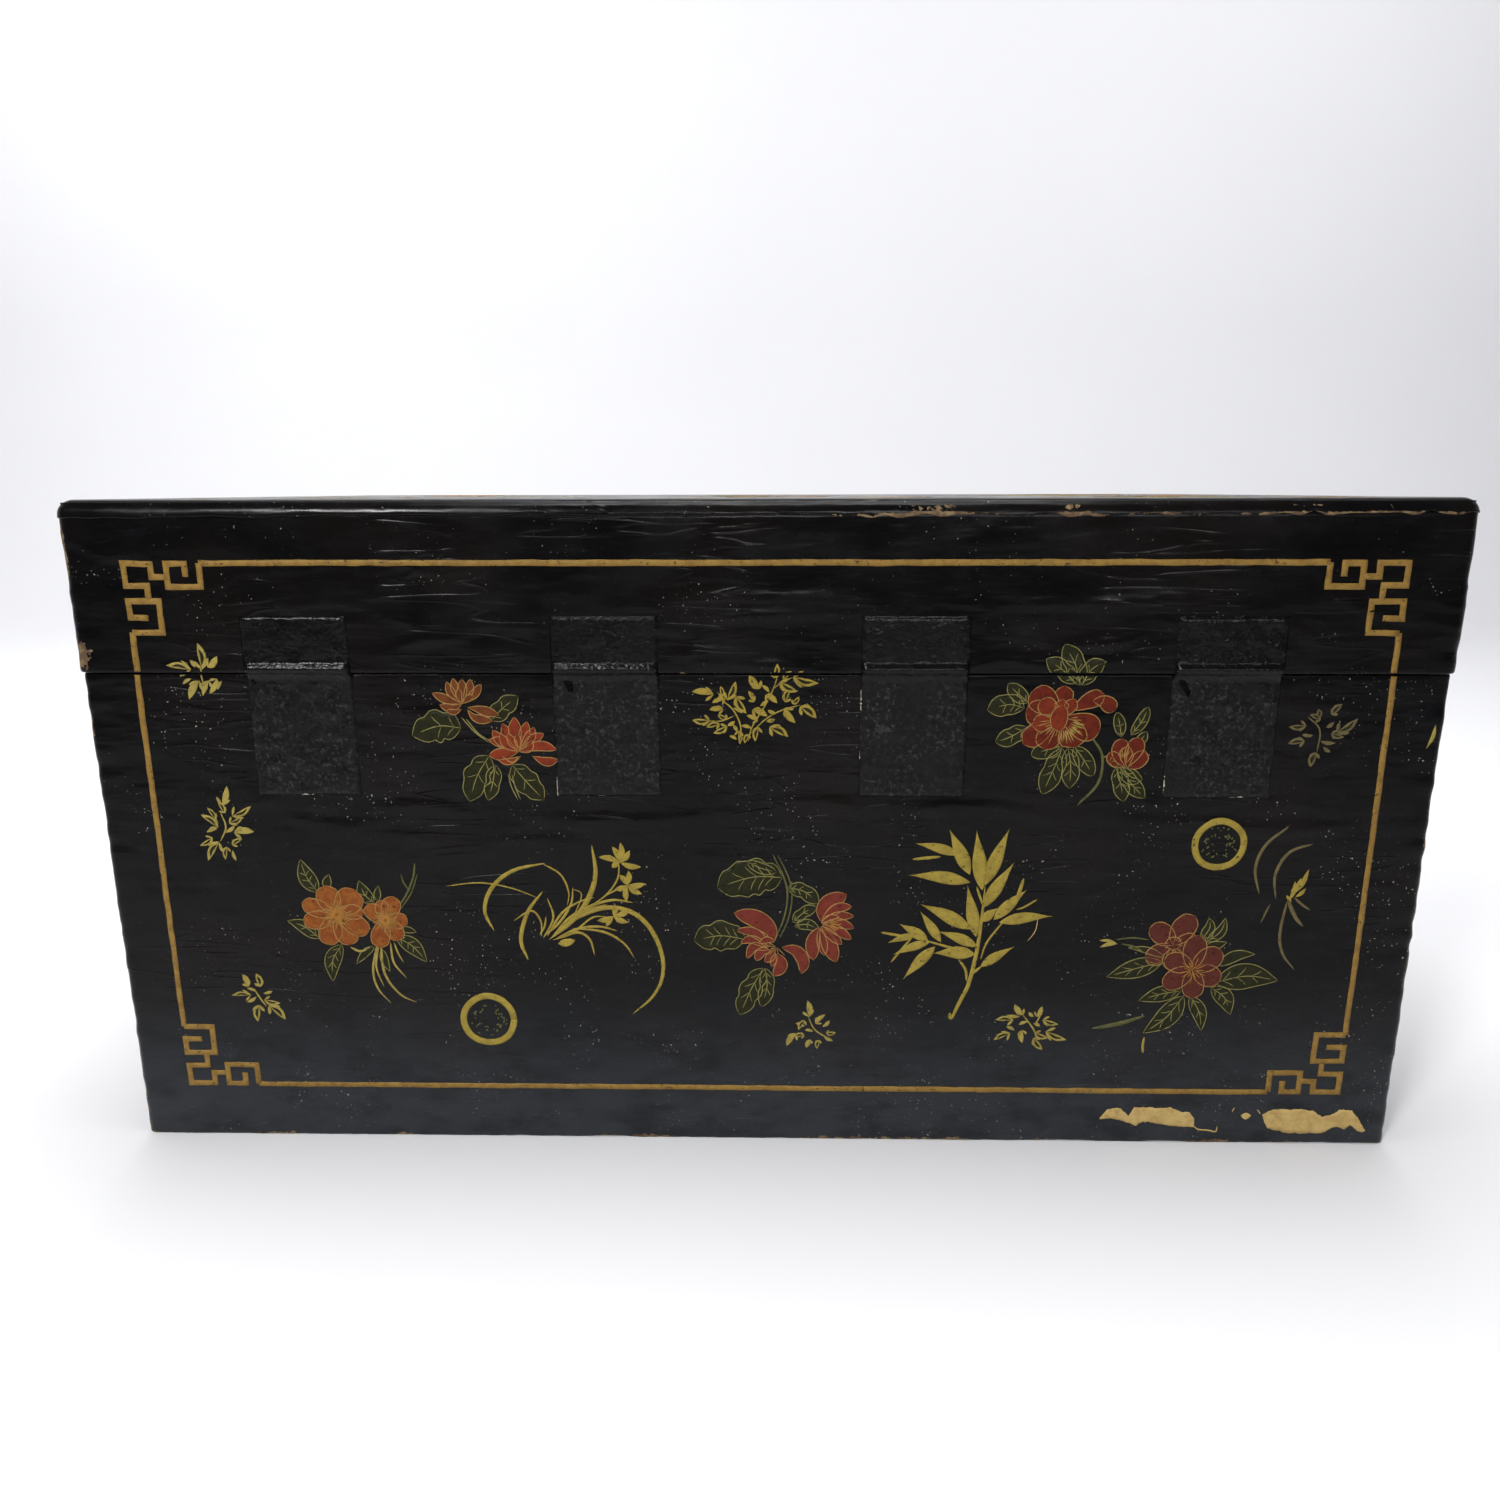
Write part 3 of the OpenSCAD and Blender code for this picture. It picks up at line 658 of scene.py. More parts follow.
def makeStraps():
    # A grid across and up the strap, pushed out by its thickness, its bead and its rough height; then
    # its back
    for index, name in enumerate(straps["nodes"], 1):
        low, high = boxOf(name)
        us = np.linspace(low[0], high[0], int((high[0] - low[0]) / straps["step"]))
        vs = np.arange(low[2], high[2] + 0.01, straps["rowStep"])
        u, v = np.meshgrid(us, vs)
        wander = 0.5 * latticeNoise(u / 17, v / 17, 0.1, 50 + index)
        edgeU = np.minimum(u - low[0], high[0] - u)
        edgeV = np.minimum(v - low[2], high[2] - v)
        base = wallAt(v)
        rough = smoothStep(seamZ - 1, seamZ - 8, v)
        grain = (0.22 + 0.32 * rough) * latticeNoise(u / 5.5, v / 5.5, index, 52)
        grain = grain + 0.2 * latticeNoise(u / 14, v / 14, index, 53)
        bead = straps["bead"] * np.clip(1 - ((v - seamZ - straps["beadZ"]) / straps["beadHalf"]) ** 2, 0,
                                        1) ** 0.5
        rise = straps["thick"] * smoothStep(-0.3, 1.6, np.minimum(edgeU, edgeV) + wander * 0.5)
        skinUnder = sideHeight(u, -base, v)
        out = base + np.maximum(rise + grain * smoothStep(0, 3, edgeU) + skinUnder * 0.6, bead
                                * smoothStep(-0.5, 1.5, edgeU) + 0.2)
        front = np.stack([u + wander * 0.25, -out, v], -1)
        ring = np.concatenate([front[0], front[1:, -1], front[-1, -2::-1], front[-2:0:-1, 0]])
        back = ring.copy()
        back[:, 1] = -wallAt(ring[:, 2]) + straps["back"]
        rows, columns = front.shape[:2]
        count = rows * columns
        edge = np.concatenate([np.arange(columns), np.arange(1, rows) * columns + columns - 1,
                               (rows - 1) * columns + np.arange(columns - 2, -1, -1),
                               np.arange(rows - 2, 0, -1) * columns])
        n = len(edge)
        later = np.roll(np.arange(n), -1)
        rim = np.stack([edge[later], edge, count + np.arange(n), count + later], -1)
        points = np.concatenate([front.reshape(-1, 3), back])
        faces = [*gridFaces(rows, columns).tolist(), *rim.tolist(), list(range(count, count + n))]
        side = smoothStep(2.2, 0.2, np.abs(edgeU)) * smoothStep(0.1, 0.6,
                                                                latticeNoise(u / 9, v / 15, 2, 60 + index))
        left = (u < (low[0] + high[0]) / 2) * (v < seamZ - 6)
        ends = smoothStep(2.0, 0.2, edgeV) * smoothStep(0.0, 0.6, latticeNoise(u / 12, v / 9, 3, 70 + index))
        worn = np.maximum(0.62 * side * left, 0.6 * ends * (v < seamZ))
        item = meshObject("strapHinge%d" % index, points, faces, strapLeather(),
                          values={"wear": np.concatenate([worn.ravel(), np.zeros(n)]),
                                  "rough": np.concatenate([(0.25 + 0.75 * rough).ravel(), np.zeros(n)])})
        faceOutwards(item, mixed=True)
        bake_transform(item)
        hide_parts(name)


# Brush strokes: each is a grid of points on a face, in mm across and up that face
def smoothPath(points, count):
    # A curve through all the points, of cubic pieces whose slope at each point follows its two neighbours
    p = np.asarray(points, float)
    p = np.vstack([2 * p[0] - p[1], p, 2 * p[-1] - p[-2]])
    t = np.linspace(0, len(p) - 3 - 1e-9, count)
    i = t.astype(int)
    f = (t - i)[:, None]
    a, b, c, d = p[i], p[i + 1], p[i + 2], p[i + 3]
    return 0.5 * (2 * b + (c - a) * f + (2 * a - 5 * b + 4 * c - d) * f ** 2 + (3 * b - a - 3 * c + d)
                  * f ** 3)


def frameOf(path):
    # How far along the path each point lies, from 0 to 1, and the unit vector square to the path there
    step = np.gradient(path, axis=0)
    size = np.linalg.norm(step, axis=1, keepdims=True) + 1e-9
    far = np.concatenate([[0], np.cumsum(np.linalg.norm(np.diff(path, axis=0), axis=1))])
    return far / far[-1], np.stack([-step[:, 1], step[:, 0]], -1) / size


def brushWidth(t, peak, full):
    # A sine hump whose widest place is at peak; the smaller full is, the blunter the ends
    return np.sin(math.pi * np.clip(t, 1e-4, 1 - 1e-4) ** (math.log(0.5) / math.log(peak))) ** full


def widened(path, normal, half, across):
    # Rows of points square to the path, out to half its width on both sides
    return path[:, None] + normal[:, None] * half[:, None, None] * np.linspace(-1, 1, across)[None, :, None]


def shape(colour, grid, lift, tone):
    # Points a little higher along the middle; each keeps its share of the length, its side and a tone
    rows, columns = grid.shape[:2]
    t, s = np.meshgrid(np.linspace(0, 1, rows), np.linspace(-1, 1, columns), indexing="ij")
    return {"colour": colour, "grid": grid, "lift": lift + 0.03 * (1 - s ** 2),
            "kept": np.stack([t, s, np.full_like(t, tone)], -1)}


def stroke(colour, points, width, peak=0.5, full=0.6, lift=0.0, across=3, step=2.0):
    # A path widened to both sides by a brush's width
    count = max(5, int(np.linalg.norm(np.diff(np.asarray(points, float), axis=0), axis=1).sum() / step) + 2)
    path = smoothPath(points, count)
    t, normal = frameOf(path)
    half = width / 2 * brushWidth(t, peak, full)
    grid = widened(path, normal, half, across)
    return [shape(colour, grid, lift, (points[0][0] * 0.37 + points[0][1] * 0.23) % 1)]


def line(colour, points, width=0.55, lift=0.12):
    return stroke(colour, points, width, 0.5, 0.22, lift)


def gilt(leaves, colour="gold", leaflets=False):
    # Small leaves, each from x, z to x, z with its width; leaflets adds a little pair at the foot of
    # each large one
    made = []
    for x0, z0, x1, z1, width in leaves:
        start, tip = np.array([x0, z0], float), np.array([x1, z1], float)
        side = np.array([z0 - z1, x1 - x0]) * (1 if (x0 + z1) % 2 > 1 else -1)
        middle = (start + tip) / 2 + 0.08 * side
        made += stroke(colour, [start, middle, tip], 0.86 * width, 0.52, 0.95, across=5, step=1.6)
        if leaflets and width > 2.7:
            for turn, reach in ((0.30, 0.42), (-0.34, 0.34)):
                end = start + reach * (tip - start) + turn * side
                made += stroke(colour, [start, end], 0.42 * width, 0.6, 0.8, 0.02, step=1.4)
            if (x0 - z1) % 3 < 2:
                inner = [start * 0.85 + tip * 0.15, middle, start * 0.22 + tip * 0.78]
                made += stroke("leafDark", inner, 0.36 * width, 0.5, 0.75, 0.10, step=1.6)
    return made


def blade(colour, points, width, peak, full, lobes=0, depth=0.25, edge="leafLine", veins=0, lift=0.0,
          lineWidth=0.5):
    # A leaf or petal: its width is a hump, cut in between its lobes, with an outline, a midrib and side veins
    reach = np.linalg.norm(np.diff(np.asarray(points, float), axis=0), axis=1).sum()
    count = max(9, int(reach / 1.3) + 2, 6 * lobes)
    path = smoothPath(points, count)
    t, normal = frameOf(path)
    half = width / 2 * brushWidth(t, peak, full)
    if lobes:
        half = half * (1 - depth * (1 - np.abs(np.sin(math.pi * lobes * np.clip(t * 1.04, 0, 1))) ** 0.7))
    grid = widened(path, normal, half, 5 if width < 7 else 7)
    made = [shape(colour, grid, lift, (points[0][0] * 0.31 + points[-1][1] * 0.17) % 1)]
    high = lift + 0.10
    for s in (-1, 1):
        rim = path + normal * half[:, None] * s
        made += line(edge, rim[::2] if len(rim) % 2 else np.vstack([rim[::2], rim[-1:]]), lineWidth, high)
    if veins:
        made += line(edge, path[:int(count * 0.92):3], lineWidth, high)
        for i in range(veins):
            k = int(count * (0.14 + 0.60 * i / veins))
            far = min(count - 1, k + int(count * 0.16))
            for s in (-1, 1):
                end = path[far] + normal[far] * half[far] * 0.72 * s
                bow = path[k] * 0.45 + end * 0.55 + (path[far] - path[k]) * 0.12
                made += line(edge, [path[k], bow, end], lineWidth * 0.8, high)
    return made


def leaves(items, peak, full, depth=0.25):
    # Dark leaves, each with its middle line, its width and how many lobes and side veins it has
    made = []
    for points, width, lobes, veins in items:
        made += blade("leafDark", points, width, peak, full, lobes, depth, "leafLine", veins)
    return made


def strokes(colour, items, peak, full, lift):
    # Strokes of one kind, each with its path and its width
    return [part for points, width in items for part in stroke(colour, points, width, peak, full, lift)]


def lines(colour, items):
    # Thin lines of one colour, each with its path and its width
    return [part for points, width in items for part in line(colour, points, width)]


def rays(colour, middle, first, last, count, start=0, turn=360, width=0.5, lift=0.16):
    # Short lines out from a middle, evenly over a turn
    made = []
    for i in range(count):
        a = math.radians(start + turn * i / count)
        d = np.array([math.cos(a), math.sin(a)])
        reach = last * (0.8 + 0.2 * math.sin(2.4 * i))
        made += line(colour, [np.array(middle) + d * first, np.array(middle) + d * reach], width, lift)
    return made


def petals(colour, items, high, peak, full):
    # Petals laid one over another, each with its middle line and its width
    made = []
    for i, (points, width) in enumerate(items):
        made += blade(colour, points, width, peak, full, edge="petalLine", lift=high + 0.03 * i)
    return made


def hoop(middle, outer, inner):
    # A gilt ring, a little out of round
    a = np.linspace(0, 2 * math.pi, 49)[:, None]
    r = np.linspace(inner, outer, 4)[None, :]
    wobble = 0.10 * np.sin(3 * a + outer) + 0.08 * np.sin(5 * a)
    grid = np.stack([middle[0] + (r + wobble) * np.cos(a), middle[1] + (r + wobble) * np.sin(a)], -1)
    return [shape("gold", grid, 0.0, 0.4)]


# The hinge side's paintings, placed in mm from the face's middle and from the floor
border = {
    "left": -325.5, "right": 324.5, "top": 324.8, "bottom": 30.8,
    "width": 3.1,
    "waver": 0.25,     # how far the hand that drew it strays
    "fret": [   # in from the corner's two outer lines
        [(39, 0), (39, 12), (22, 12), (22, 0.3), (31.5, 0.3), (31.5, 7)],
        [(22, 7), (14, 7), (14, 0.3), (0, 0.3), (0, 11.5), (11, 11.5), (11, 19.5)],
        [(0, 35.5), (16, 35.5), (16, 19.5), (0, 19.5), (0, 28), (9.5, 28)],
    ],
    "run": (39, 35.5),
}


def band(points, lift=0.0):
    # A square-cornered line of the border: its sides meet on the mitre at each corner
    p = np.asarray(points, float)
    d = np.diff(p, axis=0)
    d = d / np.linalg.norm(d, axis=1, keepdims=True)
    n = np.stack([-d[:, 1], d[:, 0]], -1)
    joint = np.vstack([n[:1], (n[:-1] + n[1:]) / (1 + (n[:-1] * n[1:]).sum(1, keepdims=True)), n[-1:]])
    rows, sides = [], []
    for i in range(len(p) - 1):
        count = max(1, int(np.linalg.norm(p[i + 1] - p[i]) / 3))
        t = np.linspace(0, 1, count + 1)[:-1, None]
        rows.append(p[i] + t * (p[i + 1] - p[i]))
        sides.append(np.where(t == 0, joint[i], n[i]))
    path, side = np.vstack([*rows, p[-1:]]), np.vstack([*sides, joint[-1:]])
    sway = border["waver"] * latticeNoise(path[:, 0] / 9, path[:, 1] / 9, 0.5, 81)
    half = border["width"] / 2 + 0.8 * border["waver"] * latticeNoise(path[:, 0] / 5, path[:, 1] / 5, 0.5, 82)
    s = np.linspace(-1, 1, 3)[None, :, None]
    grid = path[:, None] + side[:, None] * (half[:, None, None] * s + sway[:, None, None])
    return [shape("ochre", grid, lift, 0.5)]


def framed(left, right, bottom, top):
    # A border line with a fret at each corner
    made = []
    runX, runZ = border["run"]
    for sx, x in ((1, left), (-1, right)):
        for sz, z in ((1, bottom), (-1, top)):
            for points in border["fret"]:
                made += band([(x + sx * a, z + sz * b) for a, b in points], 0.02)
        made += band([(x, bottom + runZ), (x, top - runZ)])
    for z in (bottom, top):
        made += band([(left + runX, z), (right - runX, z)])
    return made


def sprigs():
    made = gilt([
        (-297, 270, -310, 272, 4), (-291, 270, -292, 284, 5), (-288, 271, -282.5, 277, 4),
        (-295, 271, -297, 275, 2.5), (-299, 268.5, -303, 266, 2), (-293, 264, -299.5, 254, 4.5),
        (-288, 264, -292, 256, 3.5), (-283.5, 265, -288.5, 257, 3.5),
        (-297, 265, -302, 262, 2.2), (-281, 264, -284, 259, 2.2)], "leafGold", True)
    made += gilt([
        (-289, 196, -285, 207, 4), (-287.5, 192, -291, 198.5, 3), (-284, 190, -273, 196, 3.6),
        (-286, 186, -278, 190, 3.2), (-292, 184, -301, 191, 3.8), (-293, 188, -297, 195, 3),
        (-284, 181, -273, 181.5, 4.6), (-289, 181, -283, 185, 2.6),
        (-296, 178, -303.5, 173.5, 3), (-293, 176, -300, 165, 4.4),
        (-289, 173, -290.5, 165.5, 3), (-286, 174, -280, 177.5, 3),
        (-286, 171, -284.5, 165, 2.4), (-293, 183, -299, 181, 2.4)], "leafGold", True)
    made += gilt([
        (-286, 91, -288.5, 98.5, 4), (-279, 91, -281, 99, 4.4), (-285, 86, -296, 85.5, 3),
        (-282, 85, -288, 81.5, 2.4), (-278, 83, -269, 81, 3.2), (-275.5, 80, -267, 71, 5),
        (-281.5, 80, -283, 69.5, 4.6), (-278, 87, -272.5, 88.5, 2.4), (-282, 88, -287, 90, 2)], "leafGold",
        True)
    made += gilt([
        (27.5, 75, 26.5, 85, 4), (25, 73, 21.5, 67, 3), (20, 65, 15, 57, 4),
        (25, 64, 19, 63, 3), (31, 71, 36.5, 76.5, 3), (35, 69, 39, 73, 2.6),
        (37, 65, 42.5, 65.5, 3), (28.5, 61, 26, 56, 3.4), (33, 61, 32, 55.5, 3),
        (36, 63, 41, 60.5, 2.6), (25, 69, 20, 71, 2.6), (30, 66, 25, 67, 2.2)], "leafGold", True)
    made += gilt([
        (146, 77, 141, 83.5, 4), (141, 74, 131, 74, 3.6), (144.5, 76, 138, 77, 2.4),
        (142, 67.5, 137, 70, 2.4), (139.5, 66, 130.5, 61.5, 3.6), (146, 68, 146.5, 60, 3.6),
        (152.5, 63, 158, 56, 4.2), (153, 66, 160.5, 63, 3.6), (159, 67, 171, 62, 4.2),
        (157, 74, 166, 71.5, 3.6), (153.5, 76, 156.5, 82.5, 3), (149, 79, 152, 76, 2.4),
        (149, 73, 144, 71, 2.4), (156, 70, 152, 72, 2.4)], "leafGold", True)
    made += gilt([
        (295, 247, 300, 252.5, 4.2), (289, 245, 288, 250, 3.4), (290, 244, 284, 247, 3),
        (299, 237, 309, 245, 4.6), (283, 241, 274, 240.5, 3.6), (283, 233, 274.5, 231.5, 4),
        (296, 237, 303, 235, 3), (291, 233, 299, 232, 2.6), (289.5, 227, 287.5, 219, 4.6),
        (293, 230, 297, 227, 2.4), (287, 236, 281, 236.5, 2.4), (293, 240, 297, 243, 2.6)], "faded", True)
    made += lines("leafGold", [
        ([(-290, 192), (-288, 184), (-292, 176)], 0.9),
        ([(-283, 90), (-280, 84), (-277, 79)], 0.9), ([(27, 75), (31, 67), (40, 61)], 0.8),
        ([(146, 77), (152, 69), (154, 64)], 0.9), ([(157, 80), (153, 71)], 0.8),
        ([(-292, 272), (-291, 262)], 0.8)])
    made += line("faded", [(283, 246), (290, 239), (290, 227)], 0.8)
    return made


def spray():
    # Two gilt twigs side by side under the seam
    made = lines("gold", [
        ([(-11, 231), (-10, 240), (-14, 249), (-21, 255)], 0.8),
        ([(-6, 232), (-4, 240), (2, 250), (7, 260), (9.5, 268)], 0.8),
        ([(-5, 236), (3, 244), (12, 249), (21, 251.5)], 0.7),
        ([(7, 260), (12, 264), (17, 266)], 0.65), ([(-13, 246), (-20, 243), (-27, 243)], 0.65)])
    made += gilt([
        (-24, 257, -35.5, 258.5, 4.2), (-18, 255, -25, 252.5, 3),
        (-19.5, 256, -20.5, 261.5, 2.8), (-17, 254, -12.5, 264, 4.2),
        (-12.5, 256, -7, 247, 4.6), (-26, 243, -35.5, 243.5, 3.8), (-19, 249, -26.5, 249, 3.4),
        (-17, 244, -22, 246.5, 3), (-21, 241.5, -28, 239.5, 3.4), (-17, 240, -24.5, 236.5, 3.6),
        (-13, 243, -17, 240.5, 2.6), (-12, 237, -14, 241, 2.4), (-11, 238, -10.5, 230.5, 2.8),
        (-9, 247, -14, 250, 2.4), (-12, 233, -16, 235, 2.2)], "gold", True)
    made += gilt([
        (0, 260, -5.5, 267.5, 4.8), (-3, 253, -6, 259, 3), (3, 257, 9, 252.5, 3.8),
        (-4, 249, 4, 245.5, 4), (10, 263.5, 19.5, 258.5, 4.4), (17, 266, 30.5, 263, 4.8),
        (7.5, 265.5, 9, 273.5, 3.6), (12, 265, 16.5, 269.5, 3), (13, 253, 15.5, 260.5, 3.6),
        (17, 252, 20.5, 256, 3), (13, 250, 18.5, 242, 4.2), (21, 251, 29.5, 244.5, 5.2),
        (5, 240, 15, 234.5, 4.8), (3, 243, 8, 244, 2.6), (-1, 243, -7, 246, 2.8),
        (-4, 239, -10, 240.5, 2.4), (-1, 240, -2.5, 232, 3.6), (-6, 236, -8, 231, 3),
        (4, 249, 8.5, 247, 2.6), (0, 251, 3.5, 254, 2.4), (5, 258, 1, 262, 2.4)], "gold", True)
    return made


def bamboo():
    blades = [
        (113.5, 154.5, 80, 158.5, 7), (113, 159, 101, 184.5, 7.5), (107, 170, 83, 176.5, 5.5),
        (120, 150, 115.5, 184, 8), (121.5, 153, 133, 185, 7.5), (121, 140, 136.5, 166, 7),
        (127, 133, 144, 150.5, 6.5), (130, 131.5, 159, 135.5, 6.5), (118, 123, 112, 153, 7),
        (115, 127.5, 87, 142, 7.5), (119, 117.5, 97, 126.5, 6), (118, 113, 95, 113.5, 7.4),
        (99, 120, 87, 138, 5.4), (92, 120.5, 76, 130.5, 6), (85, 124, 70, 119.5, 4),
        (93, 120, 73, 112.5, 5), (96, 117.5, 79, 98, 6.4), (121, 105.5, 139, 117.5, 5.6),
        (120.5, 132, 129, 140, 5.6)]
    made = []
    for x0, z0, x1, z1, width in blades:
        middle = np.array([(x0 + x1) / 2, (z0 + z1) / 2 + 0.035 * abs(x1 - x0)])
        made += stroke("gold", [(x0, z0), middle, (x1, z1)], width, 0.38, 1.35, 0.02, 5, 1.8)
    thin = [
        ([(97, 169), (82, 167.5)], 1.7), ([(138, 141), (142, 157)], 2.0),
        ([(139, 139), (144, 141), (150, 145)], 1.1), ([(84, 124), (78, 116), (72, 108)], 1.3),
        ([(80, 123), (66, 125.5)], 1.5), ([(114, 97), (113, 104), (109, 110)], 1.5),
        ([(106, 74), (105.5, 78)], 2.0), ([(121, 110), (124, 120), (133, 133)], 1.1),
        ([(121, 141), (117, 152)], 1.3), ([(118, 113), (104, 117), (90, 121)], 1.3),
        ([(116, 101), (122, 106)], 1.5)]
    for points, width in thin:
        made += line("gold", points, width, 0.05)
    stem = [(106.5, 74), (110, 83), (115, 95), (118, 110), (120, 126), (121, 141), (121.5, 153)]
    return made + stroke("gold", stem, 2.3, 0.3, 0.45, 0.04)


def orchid():
    blades = [
        ([(-146, 125), (-150.5, 137), (-146, 150), (-134, 160), (-116, 164.5)], 3.0),
        ([(-118, 164.5), (-108, 158), (-104, 148), (-105, 140)], 1.3),
        ([(-171, 151), (-152, 153), (-135, 150), (-120, 144)], 1.0),
        ([(-128, 108), (-131.5, 120), (-127, 136), (-118, 148.5)], 3.0),
        ([(-119, 122), (-110, 130), (-103, 141), (-101.5, 151)], 1.9),
        ([(-115, 121), (-103, 131), (-94, 143), (-89, 158), (-90.5, 175)], 3.8),
        ([(-114, 122), (-104, 133), (-92, 140), (-80, 143.5), (-69, 142)], 2.3),
        ([(-113, 123), (-100, 133), (-84, 139), (-70, 136.5), (-60, 127), (-54, 112), (-54, 98), (-60, 86),
          (-71, 76)], 3.3),
        ([(-112, 121), (-100, 126.5), (-88, 128), (-78, 125.5)], 2.0),
        ([(-110, 121), (-100, 124.5), (-93.5, 120.5), (-91, 111)], 1.8),
        ([(-103, 127), (-86, 125), (-75, 118.5), (-69, 109.5)], 1.8),
        ([(-119, 121), (-113, 133), (-116, 145)], 1.6),
        ([(-120, 122), (-120, 131), (-125, 137), (-135, 131)], 1.4),
        ([(-116, 120), (-106, 129), (-96, 137), (-83, 141)], 1.8),
        ([(-117, 122), (-108, 136), (-98, 142.5), (-90, 145)], 1.7),
        ([(-121, 123), (-118, 128), (-117, 134)], 1.6),
        ([(-114, 120), (-103, 124), (-92, 133), (-84, 134)], 1.6),
        ([(-103, 131), (-97, 146), (-102, 150)], 1.0)]
    made = []
    for points, width in blades:
        made += stroke("gold", points, 0.78 * width, 0.45, 0.5, 0.03)
    made += line("gold", [(-92, 140), (-83, 147), (-77, 156), (-76, 165)], 1.0)
    made += line("gold", [(-84, 146), (-75, 151)], 0.9)
    made += stroke("gold", [(-111, 118), (-106, 118.5), (-101.5, 120)], 4.6, 0.45, 0.6, 0.05, 5)
    blossoms = [
        (-75.5, 165, [(-75, 176.5), (-79.5, 174), (-87, 168), (-70, 172), (-64, 162.5), (-80, 162)]),
        (-72, 152, [(-71, 160.5), (-79, 149.5), (-62, 153), (-64, 147), (-72.5, 142.5), (-76, 158)]),
        (-80, 134, [(-89, 131.5), (-70.5, 138.5), (-72, 130.5), (-84, 128), (-79, 141)])]
    for x, z, tips in blossoms:
        made += gilt([(x, z, a, b, 3.9) for a, b in tips])
    return made


def faintOrchid():
    made = strokes("faded", [
        ([(280, 187), (269, 176), (265, 163), (268.5, 148.5)], 1.7),
        ([(294, 177), (282, 172), (276, 160), (277.5, 146)], 1.7),
        ([(284, 145), (282, 126), (285, 114), (292, 105)], 1.6),
        ([(284, 146), (289, 136), (294, 130)], 2.2), ([(275, 143), (271, 132)], 1.0),
        ([(287, 147), (293, 142), (297, 139.5)], 1.3)], 0.45, 0.4, 0.03)
    return made + gilt([
        (285, 145, 287, 156, 3), (286, 148, 293.5, 163, 3.2), (287, 151, 290, 158, 2.6),
        (288, 147, 293, 152, 2.6), (285, 150, 289, 155.5, 2.6), (286, 143, 283, 148, 2.4)], "gold")


def coins():
    # Two gilt rings with worn, unreadable marks inside
    made = hoop((-152, 72), 16, 12.3) + hoop((244.5, 176.5), 14.7, 11.2)
    for middle, reach, seed in (((-152, 72), 10.5, 3), ((244.5, 176.5), 9.5, 8)):
        chance = np.random.default_rng(seed)
        for _ in range(42):
            a, r = chance.uniform(0, 2 * math.pi), reach * math.sqrt(chance.uniform(0.12, 1))
            x, z = middle[0] + r * math.cos(a), middle[1] + r * math.sin(a)
            dx, dz = chance.uniform(-2, 2, 2)
            made += line("leafGrey", [(x, z), (x + dx, z + dz)], 0.8, 0.02)
    return made


def chrysanthemums():
    # A brown bloom above a red one, with cut leaves
    made = []
    for points in ([(-156.5, 245), (-150, 237), (-142.5, 231)], [(-154, 244), (-148, 236), (-141, 231.5)],
                   [(-133.5, 214), (-132, 207), (-129, 200)], [(-131.5, 214), (-130, 207), (-127.5, 200)]):
        made += line("leafLine", points, 0.6)
    made += leaves([
        ([(-157, 239), (-169, 240), (-183, 235)], 18, 3, 2),
        ([(-141, 243), (-134, 250), (-126, 256)], 11, 2, 2),
        ([(-143, 224), (-150, 213), (-155, 199)], 15, 3, 2),
        ([(-140, 219), (-142, 209), (-145, 199.5)], 9, 2, 2),
        ([(-131, 219), (-124, 210), (-115, 200)], 14, 3, 2)], 0.45, 0.6, 0.3)
    rust, red = (-155.5, 252), (-127, 226.5)
    made += petals("rust", [
        ([rust, (-163, 254), (-171, 257.5)], 4.6), ([rust, (-161, 249.5), (-167.5, 251.5)], 4.2),
        ([rust, (-161, 258), (-163, 263.5)], 4.4), ([rust, (-158.5, 259), (-159.5, 265.5)], 4.4),
        ([rust, (-149, 257), (-145, 262.5)], 4.4), ([rust, (-151.5, 259), (-150.5, 265)], 4.6),
        ([rust, (-155, 258), (-155, 265)], 5.0), ([(-153, 250), (-147, 249), (-136.5, 246)], 5.0),
        ([(-153, 249), (-149, 244.5), (-140, 243)], 4.6), ([rust, (-152, 255), (-149, 256)], 3.4),
        ([rust, (-157, 256), (-156.5, 260.5)], 3.2), ([(-156, 249), (-160, 247.5), (-164, 248.5)], 3.0)],
        0.06, 0.6, 0.85)
    made += petals("red", [
        ([red, (-135, 231), (-143, 232.5)], 5.4), ([red, (-135, 225), (-143, 224.5)], 6.6),
        ([red, (-136, 232), (-140.5, 238)], 5.6), ([red, (-132, 234), (-135, 241.5)], 5.8),
        ([red, (-119, 233), (-113.5, 236)], 5.4), ([red, (-121, 234), (-118.5, 239.5)], 5.6),
        ([red, (-124, 235), (-122, 242.5)], 5.6), ([red, (-128.5, 236), (-128.5, 245)], 6.6),
        ([red, (-133, 230), (-136.5, 236)], 4.6), ([red, (-116, 229.5), (-107, 227.5)], 5.2),
        ([(-120, 224), (-113, 221), (-106.5, 222)], 4.8), ([red, (-130, 231), (-132.5, 236)], 4.4),
        ([red, (-122, 228), (-120, 232.5)], 4.2), ([(-127, 227.5), (-127.3, 231.5), (-127.5, 236)], 3.6),
        ([(-126, 224), (-132, 221), (-138, 221.5)], 3.4)], 0.06, 0.6, 0.8)
    return made + line("petalLine", [(-136, 224), (-131, 220.5), (-127, 224)], 0.6, 0.6)


